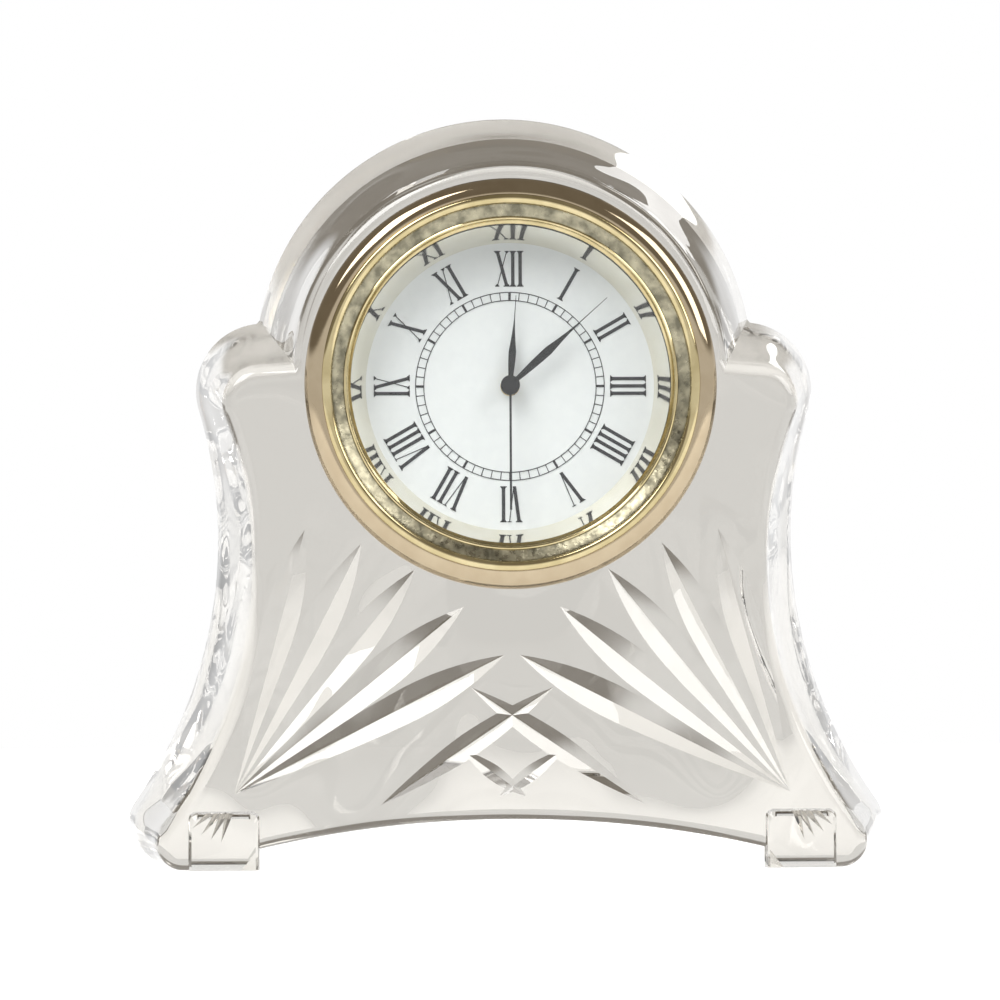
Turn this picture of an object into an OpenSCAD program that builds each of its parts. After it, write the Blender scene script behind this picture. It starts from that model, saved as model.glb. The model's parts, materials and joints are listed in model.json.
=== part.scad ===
// Crystal desk clock: a pressed and cut crystal body that holds a push-in quartz insert.
// Millimetres. X runs to the viewer's right, Y from the front face into the body, Z up.
// The origin is on the surface that the clock stands on, under the middle of its depth.

/* [Crystal body] */
// Width across the feet, at the back
body_w = 80; // [77:0.5:84]
// Height to the top of the dome, at the back
body_h = 79; // [77.5:0.5:82]
// Depth of the crystal, front face to back face
body_d = 28; // [25:0.5:34]
// Radius of the dome, at the back
dome_r = 26.5; // [26:0.25:27.5]
// How much closer each side stands at the front face
side_flare = 5; // [4:0.25:5.5]
// How much lower the top of the dome is at the front face
top_flare = 9; // [8:0.25:10]
// Radius of each shoulder, at the back
shoulder_r = 7.2; // [6.5:0.1:8]
// Height of the shoulders' centres, at the back
shoulder_z = 49.9; // [49:0.1:51]
// Radius of each shoulder, at the front
front_shoulder_r = 3.4; // [3:0.1:4]
// How much lower the shoulders' centres are at the front
shoulder_drop = 3.7; // [3:0.1:4.5]
// Radius of the hollow flanks, at the back
flank_r = 48; // [46:0.5:52]
// Radius of the hollow flanks, at the front
front_flank_r = 41; // [40:0.5:44]
// Height of the narrow waist, at the back
waist_z = 34; // [33:0.5:35]
// How much lower the waist is at the front
waist_drop = 4; // [3:0.5:5]
// Corner radius of the feet, at the back
foot_r = 4; // [3.5:0.1:4.5]
// Corner radius of the feet, at the front
front_foot_r = 2.6; // [2.2:0.1:3]
// Half the distance between the feet, on the ground
foot_in = 26.8; // [26.4:0.1:27.4]
// Half the width of the arch where it meets the feet
arch_half = 25.3; // [24.5:0.1:25.8]
// Height of the feet below the arch
arch_step = 2; // [1.8:0.1:2.4]
// Height of the arch at its middle
arch_h = 4.9; // [4.8:0.1:5.3]
// Rounding of the front edge
front_round = 1; // [0.7:0.1:1.2]
// Rounding of the back edge
back_round = 0.6; // [0.4:0.1:0.9]

/* [Foot pads] */
// How far each pad stands out from the front face
pad_proud = 0.8; // [0.6:0.1:1]
// Height of each pad
pad_h = 5.8; // [5.2:0.1:6.2]
// Width of each pad
pad_w = 7; // [6.6:0.1:7.4]
// Bevel round each pad
pad_bevel = 0.7; // [0.5:0.05:0.9]

/* [Mitre cuts] */
// Half the distance between the points that the two fans spread from
fan_x = 27.5; // [27:0.25:28]
// Height of those two points
fan_z = 7.5; // [7.25:0.25:8.25]
// Depth of each leaf at its deepest
leaf_depth = 1; // [0.7:0.05:1.1]
// Half of the wheel's edge angle
mitre_half = 60; // [56:0.5:62]
// Share of a leaf's length from the fan's point to its deepest place
leaf_belly = 0.66; // [0.55:0.01:0.7]
// Depth of the long crossing cuts
cross_depth = 0.7; // [0.5:0.05:0.9]
// Depth of the short crossing cuts
small_cross_depth = 0.45; // [0.35:0.05:0.6]

/* [Bore and bezel] */
// Radius of the bore for the insert
bore_r = 18.25; // [18.1:0.05:18.4]
// How far the dial's centre lies below the centre of the front dome
dial_drop = 0.4; // [0.2:0.1:0.6]
// Running clearance between parts that move in each other
slip = 0.05; // [0.03:0.01:0.08]
// Outer radius of the bezel
bezel_r = 20.5; // [20.2:0.05:20.6]
// Radius of the bezel's bright crest
crest_r = 18.6; // [18.3:0.05:18.9]
// How far the crest stands in front of the crystal
crest_h = 2.2; // [1.9:0.05:2.5]
// Height of the bezel's outer rim
rim_h = 0.4; // [0.3:0.05:0.6]
// Radius of the opening that shows the dial
sight_r = 15.9; // [15.6:0.05:16]
// Thickness of the bezel's skirt round the cup
skirt_t = 0.4; // [0.3:0.05:0.5]
// Length of the bezel's skirt behind the face
skirt_len = 3.2; // [2.8:0.1:3.4]

/* [Glass and dial] */
// Thickness of the lens
lens_t = 1; // [0.8:0.05:1.1]
// How far the lens stands in front of the crystal's face
lens_proud = 0.6; // [0.5:0.05:0.8]
// Width of the lens's edge that the bezel covers
lens_hold = 0.95; // [0.8:0.05:1]
// Thickness of the seal behind the lens
seal_t = 0.25; // [0.2:0.05:0.35]
// Depth of the reflector ring
reflector_d = 2.75; // [2.5:0.05:3.2]
// Inner radius of the reflector ring at the dial
reflector_r = 14.45; // [14.2:0.05:14.8]
// Thickness of the dial
dial_t = 0.35; // [0.3:0.05:0.45]
// Thickness of the raised print
print_t = 0.05; // [0.03:0.01:0.06]
// Outer radius of the numerals
numeral_r = 13.65; // [13.2:0.05:13.8]
// Height of the numerals
numeral_h = 3.6; // [3.2:0.05:3.8]
// Width of the numerals' thick strokes
stroke_w = 0.3; // [0.24:0.01:0.36]
// Width of the numerals' fine strokes
hair_w = 0.08; // [0.06:0.01:0.12]
// Outer radius of the minute track
track_r = 9.5; // [9.2:0.05:9.7]
// Width of the minute track
track_w = 0.9; // [0.7:0.05:1.1]
// Width of the track's lines
track_line = 0.08; // [0.06:0.01:0.12]

/* [Hands] */
// Length of the hour hand
hour_len = 9.1; // [8.4:0.1:9.8]
// Length of the minute hand
minute_len = 13.1; // [12:0.1:13.5]
// Length of the second hand
second_len = 12.5; // [11.5:0.1:13.5]
// Width of the hour hand at its widest
hour_w = 0.74; // [0.6:0.02:0.9]
// Width of the minute hand at its widest
minute_w = 0.86; // [0.7:0.02:1]
// Width of the second hand
second_w = 0.22; // [0.16:0.02:0.3]
// Thickness of each hand
hand_t = 0.15; // [0.1:0.01:0.2]
// Radius of the hands' collars
collar_r = 0.95; // [0.9:0.01:1.05]
// Time shown, in minutes after twelve
shown_minutes = 8; // [0:1:719]
// Seconds shown
shown_seconds = 30; // [0:1:59]

/* [Case] */
// Wall of the cup
cup_wall = 0.45; // [0.35:0.05:0.5]
// Radial thickness of the grip ring
grip_t = 0.7; // [0.65:0.01:0.75]
// Length of the grip ring
grip_len = 6.6; // [5.5:0.1:7]
// Height of the grip ring's ribs
rib_h = 0.35; // [0.25:0.05:0.4]
// Space behind the train bridge
rear_d = 1.6; // [1.5:0.05:2]
// Thickness of the cup's floor
floor_t = 0.6; // [0.5:0.05:0.8]
// Radius of the opening in the cup's floor
floor_hole_r = 14.7; // [14.65:0.05:14.8]
// Thickness of the back cover
cover_t = 0.7; // [0.6:0.05:0.9]
// Radius of the back cover
cover_r = 16.3; // [16.2:0.05:16.6]
// Radius of the battery hatch
hatch_r = 4.2; // [4:0.05:4.3]
// How far the hatch's lugs reach past it
lug_reach = 0.4; // [0.3:0.05:0.5]
// Width of the coin slot
coin_slot_w = 0.9; // [0.7:0.05:1.2]
// Radius of the setting knob
knob_r = 2.6; // [2.3:0.05:2.8]
// Length of the setting knob
knob_len = 2.2; // [1.8:0.1:2.6]

/* [Movement] */
// Radial thickness of the ring that holds the movement
holder_t = 2.45; // [2.3:0.05:2.5]
// Thickness of the main plate
plate_t = 0.8; // [0.7:0.05:1]
// Space between dial and main plate
motion_d = 1.65; // [1.6:0.05:2]
// Space between main plate and bridge
train_d = 3.2; // [3.15:0.05:3.6]
// Thickness of the bridge
bridge_t = 0.6; // [0.5:0.05:0.8]
// Tooth module of the motion work
motion_m = 0.22; // [0.21:0.005:0.22]
// Tooth module of the centre wheel and third pinion
centre_m = 0.2; // [0.198:0.001:0.202]
// Tooth module of the fifth wheel and rotor pinion
rotor_m = 0.16; // [0.15:0.005:0.165]
// Thickness of the wheels
wheel_t = 0.3; // [0.25:0.01:0.32]
// Radius of the seconds arbor
second_arbor_r = 0.12; // [0.1:0.01:0.13]
// Radius of the wheels' arbors
arbor_r = 0.3; // [0.25:0.01:0.32]
// Radius of the arbors' pivots
pivot_r = 0.18; // [0.15:0.01:0.2]
// Radius of the battery
cell_r = 3.4; // [3.2:0.05:3.4]
// Height of the battery
cell_h = 2.6; // [2.4:0.05:2.6]
// Radius of the coil
coil_r = 1.15; // [1:0.05:1.2]
// Length of the coil
coil_len = 9; // [8:0.1:9.4]

/* [Hidden] */
$fn = 96;

// Places along the depth, measured from the front face into the body
face_y = crest_h - (body_d + crest_h) / 2;
front_dome_r = dome_r - side_flare;
dial_z = body_h - top_flare - front_dome_r - dial_drop;
u_lens = -lens_proud;
u_cup = u_lens + lens_t;
u_reflector = u_cup + seal_t;
u_dial = u_reflector + reflector_d;
u_ring = u_dial + dial_t;
u_plate = u_ring + motion_d;
u_train = u_plate + plate_t;
u_bridge = u_train + train_d;
u_rear = u_bridge + bridge_t;
u_floor = u_rear + rear_d;
u_cover = u_floor + floor_t;
u_back = u_cover + cover_t;

// Radii that follow from the bore
cup_r = bore_r - slip - grip_t;
cup_in = cup_r - cup_wall;
stack_r = cup_in - slip;
lens_r = sight_r + lens_hold;
plate_r = stack_r - holder_t - slip;

// Tube radii of the three nested hand arbors, each running in the next
centre_tube_in = second_arbor_r + slip;
centre_tube_r = centre_tube_in + 0.13;
cannon_in = centre_tube_r + slip;
cannon_r = cannon_in + 0.17;
hour_tube_in = cannon_r + slip;
hour_tube_r = hour_tube_in + 0.2;

// Planes of the hands, front to back
hand_gap = 0.35;
u_hour_hand = u_dial - 0.75 - hand_t;
u_minute_hand = u_hour_hand - hand_gap - hand_t;
u_second_hand = u_minute_hand - hand_gap - hand_t;

// Tooth counts
z_cannon = 12;
z_minute = 36;
z_minute_pinion = 10;
z_hour = 40;
z_stem = 12;
z_centre = 64;
z_third_pinion = 8;
z_third = 60;
z_second_pinion = 8;
z_second = 40;
z_fifth_pinion = 8;
z_fifth = 48;
z_rotor = 8;

// Centre distances, and the modules that follow from them
minute_dist = motion_m * (z_cannon + z_minute) / 2;
hour_m = 2 * minute_dist / (z_minute_pinion + z_hour);
stem_dist = motion_m * (z_minute + z_stem) / 2;
third_dist = centre_m * (z_centre + z_third_pinion) / 2;
third_m = 2 * third_dist / (z_third + z_second_pinion);
second_m = 2 * third_dist / (z_second + z_fifth_pinion);
rotor_dist = rotor_m * (z_fifth + z_rotor) / 2;

// Directions of the wheels, seen from the front, and their centres from the dial's centre
third_dir = 190;
fifth_dir = 60;
rotor_dir = 330;
minute_c = [0, -minute_dist];
stem_c = minute_c + [0, -stem_dist];
third_c = third_dist * [cos(third_dir), sin(third_dir)];
fifth_c = third_dist * [cos(fifth_dir), sin(fifth_dir)];
rotor_c = fifth_c + rotor_dist * [cos(rotor_dir), sin(rotor_dir)];
cell_dir = -43;
cell_c = (z_centre * centre_m / 2 + cell_r + 0.5) * [cos(cell_dir), sin(cell_dir)];
coil_c = [-0.8, plate_r - 3];

// Planes of the wheels
layer = 0.8;
u_hour_wheel = u_ring + 0.2;
u_motion = u_hour_wheel + wheel_t + 0.3;
u_centre = u_train + 0.3;
u_third = u_centre + layer;
u_second = u_third + layer;
u_fifth = u_second + layer - 0.1;
pinion_over = 0.1;

// Places of the pillars and screws
pillar_r = 0.9;
pillar_ring = plate_r - pillar_r - 0.3;
pillar_dirs = [150.5, 353.5, 283];
cover_screw_ring = (floor_hole_r + cover_r) / 2;
cover_screw_dirs = [90, 210, 350];
screw_r = 0.4;
head_r = 0.7;

// Crossing cuts: start, direction and length of the long and the short one
cross_x = 13;
cross_z = 6.4;
cross_dir = 34;
cross_len = 20.6;
small_x = 5.2;
small_z = 11.9;
small_dir = 36;
small_len = 8;

// Fans: direction and length of each leaf
leaf_dirs = [27, 39, 51.5, 63.5, 75];
leaf_lens = [30, 29.4, 27.7, 27.5, 27];

function arc(cx, cz, r, from, to, n) =
    [for (i = [0:n]) let (a = from + (to - from) * i / n) [cx + r * cos(a), cz + r * sin(a)]];
function tail(list) = [for (i = [1:len(list) - 1]) list[i]];
function lerp(a, b, t) = [for (i = [0:len(a) - 1]) a[i] * (1 - t) + b[i] * t];

// Segments of half the arch, and points from low on the flank to the foot's inner corner
arch_steps = 7;
foot_points = 14;

// Right half of an outline, from the top of the dome to the middle of the arch. Each flank arc
// touches the shoulder arc above it and the foot arc below it.
function half_outline(half_w, top_z, dr, sr, sz, fr, wz, tr) =
    let (
        dz = top_z - dr,
        foot_x = half_w - tr,
        flank_x = foot_x + sqrt(pow(fr + tr, 2) - pow(wz - tr, 2)),
        shoulder_x = flank_x - sqrt(pow(fr + sr, 2) - pow(sz - wz, 2)),
        a_shoulder = atan2(wz - sz, flank_x - shoulder_x),
        a_foot = atan2(wz - tr, flank_x - foot_x),
        notch_z = sz + sr + 0.3,
        arch_r = (pow(arch_half, 2) + pow(arch_h - arch_step, 2)) / (2 * (arch_h - arch_step)),
        arch_a = asin(arch_half / arch_r)
    )
    concat(
        arc(0, dz, dr, 90, asin((notch_z - dz) / dr), 18),
        arc(shoulder_x, sz, sr, 84, 0, 7),
        tail(arc(shoulder_x, sz, sr, 0, a_shoulder, 3)),
        tail(arc(flank_x, wz, fr, 180 + a_shoulder, 180 + a_foot, 14)),
        tail(arc(foot_x, tr, tr, a_foot, 0, 3)),
        tail(arc(foot_x, tr, tr, 0, -90, 6)),
        [[foot_in, 0]],
        arc(0, arch_h - arch_r, arch_r, 90 - arch_a, 90, arch_steps)
    );

function whole_outline(half) =
    concat(half, [for (i = [len(half) - 2:-1:1]) [-half[i][0], half[i][1]]]);

back_outline = whole_outline(half_outline(body_w / 2, body_h, dome_r, shoulder_r, shoulder_z,
    flank_r, waist_z, foot_r));
front_outline = whole_outline(half_outline(body_w / 2 - side_flare, body_h - top_flare, front_dome_r,
    front_shoulder_r, shoulder_z - shoulder_drop, front_flank_r, waist_z - waist_drop, front_foot_r));

// The outline at a depth, moved inwards by an inset
function inset_outline(depth, inset) =
    let (
        line = lerp(front_outline, back_outline, depth / (body_d - back_round)),
        n = len(line)
    )
    [for (i = [0:n - 1])
        let (d = line[(i + 1) % n] - line[(i + n - 1) % n], l = norm(d))
        line[i] + inset * [d[1], -d[0]] / l];

function ring_points(depth, inset) =
    [for (p = inset_outline(depth, inset)) [p[0], face_y + depth, max(p[1], 0)]];

// Triangles that fill the front outline of n points. Strips run from side to side down to a point on
// the flank, and fans fill the feet and the bridge over the arch.
function cap_faces(n, flank, arch) =
    let (
        middle = n / 2,
        right = concat(
            [for (j = [flank:arch - 2]) [arch, j, j + 1]],
            [for (j = [arch:middle - 1]) [flank, j, j + 1]]
        )
    )
    concat(
        [[0, 1, n - 1]],
        [for (i = [1:flank - 1]) each [[i, i + 1, n - i - 1], [i, n - i - 1, n - i]]],
        right,
        [for (t = right) [n - t[0], n - t[2], n - t[1]]],
        [[flank, middle, n - flank]]
    );

// One body through rings of points, front to back, with a flat cap at each end
module loft(rings) {
    n = len(rings[0]);
    last = len(rings) - 1;
    arch = n / 2 - arch_steps;
    cap = cap_faces(n, arch - foot_points, arch);
    points = [for (ring = rings) each ring];
    walls = [for (k = [0:last - 1]) for (i = [0:n - 1])
        let (a = k * n + i, b = k * n + (i + 1) % n)
        each [[a, a + n, b + n], [a, b + n, b]]];
    polyhedron(points, concat(
        cap,
        walls,
        [for (t = cap) [for (i = [2:-1:0]) last * n + t[i]]]
    ));
}

// Extrudes a flat shape between two depths. Its X and Y are the face's X and Z, from the dial's centre.
module layer_between(u1, u2, c = [0, 0]) {
    translate([c[0], face_y + u2, dial_z + c[1]])
        rotate([90, 0, 0])
        linear_extrude(u2 - u1)
        children();
}

// Spins a profile of [radius, depth] points round the dial's axis
module spun(profile) {
    translate([0, face_y, dial_z])
        rotate([90, 0, 0])
        rotate_extrude()
        polygon([for (p = profile) [p[0], -p[1]]]);
}

module washer(r, hole_r) {
    difference() {
        circle(r);
        circle(hole_r);
    }
}

// Depth of a leaf, as a share of its deepest, at a share of its length
function leaf_share(t, belly) =
    t < belly ? 1 - pow(1 - t / belly, 1.5) : 1 - pow((t - belly) / (1 - belly), 2);

// A leaf-shaped V cut from a start point. It runs out above the glass at both ends.
module leaf_cut(x, z, dir, length, belly, depth) {
    up = 0.4;
    spread = tan(mitre_half);
    tip = 1 - belly;
    steps = [0, 0.35 * belly, 0.7 * belly, belly, belly + 0.4 * tip, belly + 0.75 * tip, 1];
    n = len(steps);
    depths = [for (t = steps) depth * leaf_share(t, belly)];
    run_in = up * (steps[1] - steps[0]) / depths[1];
    run_out = up * (steps[n - 1] - steps[n - 2]) / depths[n - 2];
    ridge = [for (i = [0:n - 1]) [length * steps[i], depths[i]]];
    points = concat(
        [[-length * run_in, -up, 0]],
        [for (r = ridge) each [[r[0], r[1], 0], [r[0], -up, spread * (r[1] + up)],
            [r[0], -up, -spread * (r[1] + up)]]],
        [[length * (1 + run_out), -up, 0]]
    );
    end = len(points) - 1;
    translate([x, face_y, z])
        rotate([0, -dir, 0])
        polyhedron(points, concat(
            [[0, 1, 2], [0, 3, 1], [0, 2, 3]],
            [for (k = [0:n - 2]) let (a = 1 + 3 * k, c = a + 3)
                each [[a, c, c + 1], [a, c + 1, a + 1], [a, a + 2, c + 2], [a, c + 2, c],
                    [a + 1, c + 1, c + 2], [a + 1, c + 2, a + 2]]],
            [[end, end - 2, end - 3], [end, end - 3, end - 1], [end, end - 1, end - 2]]
        ));
}

// The cuts of the right half
module mitre_cuts() {
    for (i = [0:len(leaf_dirs) - 1]) {
        leaf_cut(fan_x, fan_z, 180 - leaf_dirs[i], leaf_lens[i], leaf_belly, leaf_depth);
    }
    leaf_cut(cross_x, cross_z, 180 - cross_dir, cross_len, 0.5, cross_depth);
    leaf_cut(small_x, small_z, 180 + small_dir, small_len, 0.5, small_cross_depth);
}

// A pad in front of one foot, with its edges bevelled
module foot_pad() {
    corner = 0.8;
    inner = arch_half - 0.3;
    hull() {
        for (x = [inner + corner, inner + pad_w - corner]) {
            translate([x, face_y + 1.5, pad_h - corner])
                rotate([90, 0, 0])
                cylinder(h = 1.5, r = corner, $fn = 32);
            translate([x - corner, face_y, 0])
                cube([2 * corner, 1.5, 1]);
            translate([x, face_y, pad_h - corner - pad_bevel])
                rotate([90, 0, 0])
                cylinder(h = pad_proud, r = corner - 0.3, $fn = 32);
            translate([x - corner + 0.3, face_y - pad_proud, 0])
                cube([2 * corner - 0.6, 1.5, 1]);
        }
    }
}

module crystal_body() {
    rings = [
        ring_points(0, front_round),
        ring_points(front_round * 0.3, front_round * 0.3),
        ring_points(front_round, 0),
        ring_points(body_d - back_round, 0),
        ring_points(body_d, back_round)
    ];
    color([0.86, 0.9, 0.89, 0.35])
    difference() {
        union() {
            loft(rings);
            foot_pad();
            mirror([1, 0, 0])
                foot_pad();
        }
        layer_between(-1, body_d + 1)
            circle(bore_r);
        mitre_cuts();
        mirror([1, 0, 0])
            mitre_cuts();
    }
}

module bezel() {
    outer_flank = [for (i = [0:8]) let (a = 90 * i / 8)
        [crest_r + (bezel_r - crest_r) * cos(a), -rim_h - (crest_h - rim_h) * sin(a)]];
    inner_flank = [for (i = [1:8]) let (t = i / 8)
        [crest_r + (sight_r - crest_r) * t, -crest_h + (crest_h - lens_proud - 0.3) * pow(t, 0.8)]];
    color([0.78, 0.6, 0.3])
    spun(concat(
        [[bezel_r, 0]],
        outer_flank,
        inner_flank,
        [[sight_r, u_lens], [lens_r + slip, u_lens], [lens_r + slip, u_cup - slip],
            [cup_r + slip, u_cup - slip], [cup_r + slip, skirt_len],
            [cup_r + slip + skirt_t, skirt_len], [cup_r + slip + skirt_t, 0]]
    ));
}

module lens() {
    color([0.9, 0.95, 0.95, 0.3])
    layer_between(u_lens, u_cup)
        circle(lens_r);
}

module lens_seal() {
    color([0.15, 0.15, 0.15])
    layer_between(u_cup, u_reflector)
        washer(stack_r, sight_r + 0.1);
}

module reflector_ring() {
    color([0.86, 0.82, 0.66])
    spun([[sight_r, u_reflector], [stack_r, u_reflector], [stack_r, u_dial], [reflector_r, u_dial]]);
}

module dial() {
    color([0.95, 0.96, 0.96])
    layer_between(u_dial, u_ring)
        washer(stack_r, hour_tube_r + 0.2);
}

// One stroke of a numeral, leaning by a shift at its foot
module stroke(x, width, lean = 0) {
    h = numeral_h;
    polygon([[x - width / 2 + lean, -h], [x + width / 2 + lean, -h], [x + width / 2, 0], [x - width / 2, 0]]);
}

// A numeral from its letters, centred on x = 0 with its head at y = 0
module numeral(letters) {
    step = 0.72;
    v_w = 1.35;
    widths = [for (c = letters) c == "I" ? step : v_w];
    total = total_of(widths, len(widths));
    for (i = [0:len(letters) - 1]) {
        x = total_of(widths, i) + widths[i] / 2 - total / 2;
        if (letters[i] == "I") {
            stroke(x, stroke_w);
        }
        if (letters[i] == "V") {
            stroke(x - v_w * 0.34, stroke_w, v_w * 0.34);
            stroke(x + v_w * 0.34, hair_w, -v_w * 0.34);
        }
        if (letters[i] == "X") {
            stroke(x - v_w * 0.34, stroke_w, v_w * 0.68);
            stroke(x + v_w * 0.34, hair_w, -v_w * 0.68);
        }
    }
}

function total_of(list, n) = n <= 0 ? 0 : list[n - 1] + total_of(list, n - 1);

module dial_numerals() {
    hours = ["XII", "I", "II", "III", "IIII", "V", "VI", "VII", "VIII", "IX", "X", "XI"];
    color([0.12, 0.12, 0.12])
    for (i = [0:11]) {
        layer_between(u_dial - print_t, u_dial)
            rotate(-30 * i)
            translate([0, numeral_r])
            numeral(hours[i]);
    }
}

module dial_track() {
    color([0.2, 0.2, 0.2])
    layer_between(u_dial - print_t, u_dial) {
        washer(track_r, track_r - track_line);
        washer(track_r - track_w + track_line, track_r - track_w);
        for (i = [0:59]) {
            w = i % 5 == 0 ? 3 * track_line : track_line;
            rotate(-6 * i)
                translate([-w / 2, track_r - track_w + track_line / 2])
                square([w, track_w - track_line]);
        }
    }
}

module case_cup() {
    color([0.75, 0.62, 0.35])
    difference() {
        spun([[cup_r, u_cup], [cup_r, u_cover], [floor_hole_r, u_cover], [floor_hole_r, u_floor],
            [cup_in, u_floor], [cup_in, u_cup]]);
        for (a = cover_screw_dirs) {
            layer_between(u_floor - 0.5, u_cover + 0.5, cover_screw_ring * [cos(a), sin(a)])
                circle(screw_r + slip);
        }
    }
}

module grip_ring() {
    base = cup_r + grip_t - rib_h;
    start = skirt_len + 0.3;
    pitch = grip_len / 5;
    ribs = [for (k = [0:4]) each [[base, start + pitch * k], [cup_r + grip_t, start + pitch * (k + 0.35)],
        [cup_r + grip_t, start + pitch * (k + 0.65)]]];
    color([0.85, 0.85, 0.82])
    spun(concat([[cup_r, start]], ribs, [[base, start + grip_len], [cup_r, start + grip_len]]));
}

module movement_ring() {
    color([0.92, 0.9, 0.85])
    spun([[stack_r, u_ring], [stack_r, u_floor], [plate_r + slip, u_floor], [plate_r + slip, u_plate],
        [plate_r - 1.6, u_plate], [plate_r - 1.6, u_ring]]);
}

module main_plate() {
    color([0.8, 0.72, 0.45])
    difference() {
        union() {
            layer_between(u_plate, u_train)
                circle(plate_r);
            for (a = pillar_dirs) {
                layer_between(u_train, u_bridge, pillar_ring * [cos(a), sin(a)])
                    circle(pillar_r);
            }
            layer_between(u_motion - 0.35, u_plate, minute_c)
                circle(pivot_r);
        }
        layer_between(u_plate - 1, u_train + 1)
            circle(centre_tube_r + slip);
        layer_between(u_plate - 0.5, u_train + 1, stem_c)
            circle(arbor_r * 2 + slip);
        for (c = [third_c, fifth_c, rotor_c]) {
            layer_between(u_plate + 0.2, u_train + 1, c)
                circle(pivot_r + slip);
        }
        for (a = pillar_dirs) {
            layer_between(u_bridge - 1.4, u_bridge + 1, pillar_ring * [cos(a), sin(a)])
                circle(screw_r + slip);
        }
    }
}

module train_bridge() {
    color([0.82, 0.74, 0.5])
    layer_between(u_bridge, u_rear)
        difference() {
            circle(plate_r - 0.4);
            circle(second_arbor_r + slip);
            translate(stem_c)
                circle(arbor_r * 2 + slip);
            for (c = [third_c, fifth_c, rotor_c]) {
                translate(c)
                    circle(pivot_r + slip);
            }
            for (a = pillar_dirs) {
                translate(pillar_ring * [cos(a), sin(a)])
                    circle(screw_r + slip);
            }
            translate(cell_c)
                circle(cell_r + 0.7);
        }
}

module bridge_screws() {
    color([0.7, 0.72, 0.75])
    for (a = pillar_dirs) {
        c = pillar_ring * [cos(a), sin(a)];
        layer_between(u_bridge - 1.3, u_rear, c)
            circle(screw_r);
        difference() {
            layer_between(u_rear, u_rear + 0.4, c)
                circle(head_r);
            layer_between(u_rear + 0.25, u_rear + 1, c)
                square([2, 0.25], center = true);
        }
    }
}

module circuit_board() {
    inner = z_centre * centre_m / 2 + 0.8;
    outer = plate_r - 0.4;
    color([0.1, 0.35, 0.2]) {
        layer_between(u_train, u_train + 0.5)
            polygon(concat(arc(0, 0, inner, 204, 258, 8), arc(0, 0, outer, 260, 204, 10)));
        layer_between(u_train + 0.5, u_train + 1.1, (outer - 1.2) * [cos(226), sin(226)])
            circle(0.9);
    }
}

module quartz_can() {
    can_r = 0.7;
    can_len = 4.6;
    color([0.78, 0.8, 0.82])
    translate([-2 - can_len, face_y + u_train + 0.5 + can_r, dial_z - plate_r + 3.1])
        rotate([0, 90, 0])
        cylinder(h = can_len, r = can_r);
}

// The coil lies across the top of the plate, round a flat core
module coil() {
    u_axis = u_train + 0.55 + coil_r;
    color([0.72, 0.38, 0.2])
    translate([coil_c[0] - coil_len / 2, face_y + u_axis, dial_z + coil_c[1]])
        rotate([0, 90, 0])
        difference() {
            union() {
                cylinder(h = coil_len, r = coil_r);
                cylinder(h = 0.4, r = coil_r + 0.15);
                translate([0, 0, coil_len - 0.4])
                    cylinder(h = 0.4, r = coil_r + 0.15);
            }
            translate([-0.7, -0.3, -1])
                cube([1.4, 0.6, coil_len + 2]);
        }
}

module coil_core() {
    u_axis = u_train + 0.55 + coil_r;
    color([0.6, 0.6, 0.62])
    layer_between(u_axis - 0.25, u_axis + 0.25, coil_c)
        square([coil_len + 2.2, 1.2], center = true);
}

// Two flat arms, on studs, that lead the coil's field to both sides of the rotor
module stator() {
    u_axis = u_train + 0.55 + coil_r;
    half_gap = coil_len / 2 + 0.75;
    left = coil_c[0] - half_gap;
    right = coil_c[0] + half_gap;
    top = coil_c[1] + 0.6;
    arm_top = plate_r - 5.5;
    arm_w = 1.4;
    bore = 1.45;
    ring = bore + 1.1;
    x = rotor_c[0];
    z = rotor_c[1];
    color([0.62, 0.63, 0.66]) {
        layer_between(u_axis - 0.75, u_axis - 0.25)
            difference() {
                union() {
                    translate(rotor_c)
                        circle(ring);
                    polygon([[left - 0.6, top], [left + 0.6, top], [left + 0.6, arm_top], [3.2, arm_top],
                        [x - 0.9, z + 2.2], [x - 2.3, z + 0.8], [3.2, arm_top - arm_w],
                        [left - 0.6, arm_top - arm_w]]);
                    polygon([[right - 0.5, top - 1.2], [right + 0.6, top], [x + 2.4, z + 0.8], [x + 0.6, z + 2.4]]);
                }
                translate(rotor_c)
                    circle(bore);
            }
        for (stud = [[left, arm_top - arm_w / 2], [right, coil_c[1]]]) {
            layer_between(u_train, u_axis - 0.75, stud)
                circle(0.5);
        }
    }
}

module battery_cell() {
    color([0.8, 0.82, 0.84]) {
        layer_between(u_train + 0.2, u_train + cell_h, cell_c)
            circle(cell_r);
        layer_between(u_train, u_train + 0.2, cell_c)
            circle(cell_r - 0.8);
    }
}

// A sprung strap over the battery, held by the screw of the nearest pillar
module battery_strap() {
    foot = pillar_ring * [cos(pillar_dirs[1]), sin(pillar_dirs[1])];
    strap_t = 0.2;
    color([0.85, 0.75, 0.45])
    layer_between(u_train + cell_h, u_train + cell_h + strap_t)
        difference() {
            intersection() {
                union() {
                    translate(cell_c)
                        circle(1.6);
                    polygon([cell_c + [-0.2, 1.5], cell_c + [1.5, 0.2], foot + [1, -1], foot + [-1.4, -0.6]]);
                    translate(foot)
                        circle(1.8);
                }
                circle(plate_r);
            }
            translate(foot)
                circle(pillar_r + slip);
        }
}

module back_cover() {
    color([0.72, 0.73, 0.75])
    layer_between(u_cover, u_back)
        difference() {
            circle(cover_r);
            translate(stem_c)
                circle(arbor_r * 2 + slip);
            translate(cell_c)
                circle(hatch_r + slip);
            for (a = cover_screw_dirs) {
                translate(cover_screw_ring * [cos(a), sin(a)])
                    circle(screw_r + slip);
            }
        }
}

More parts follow.
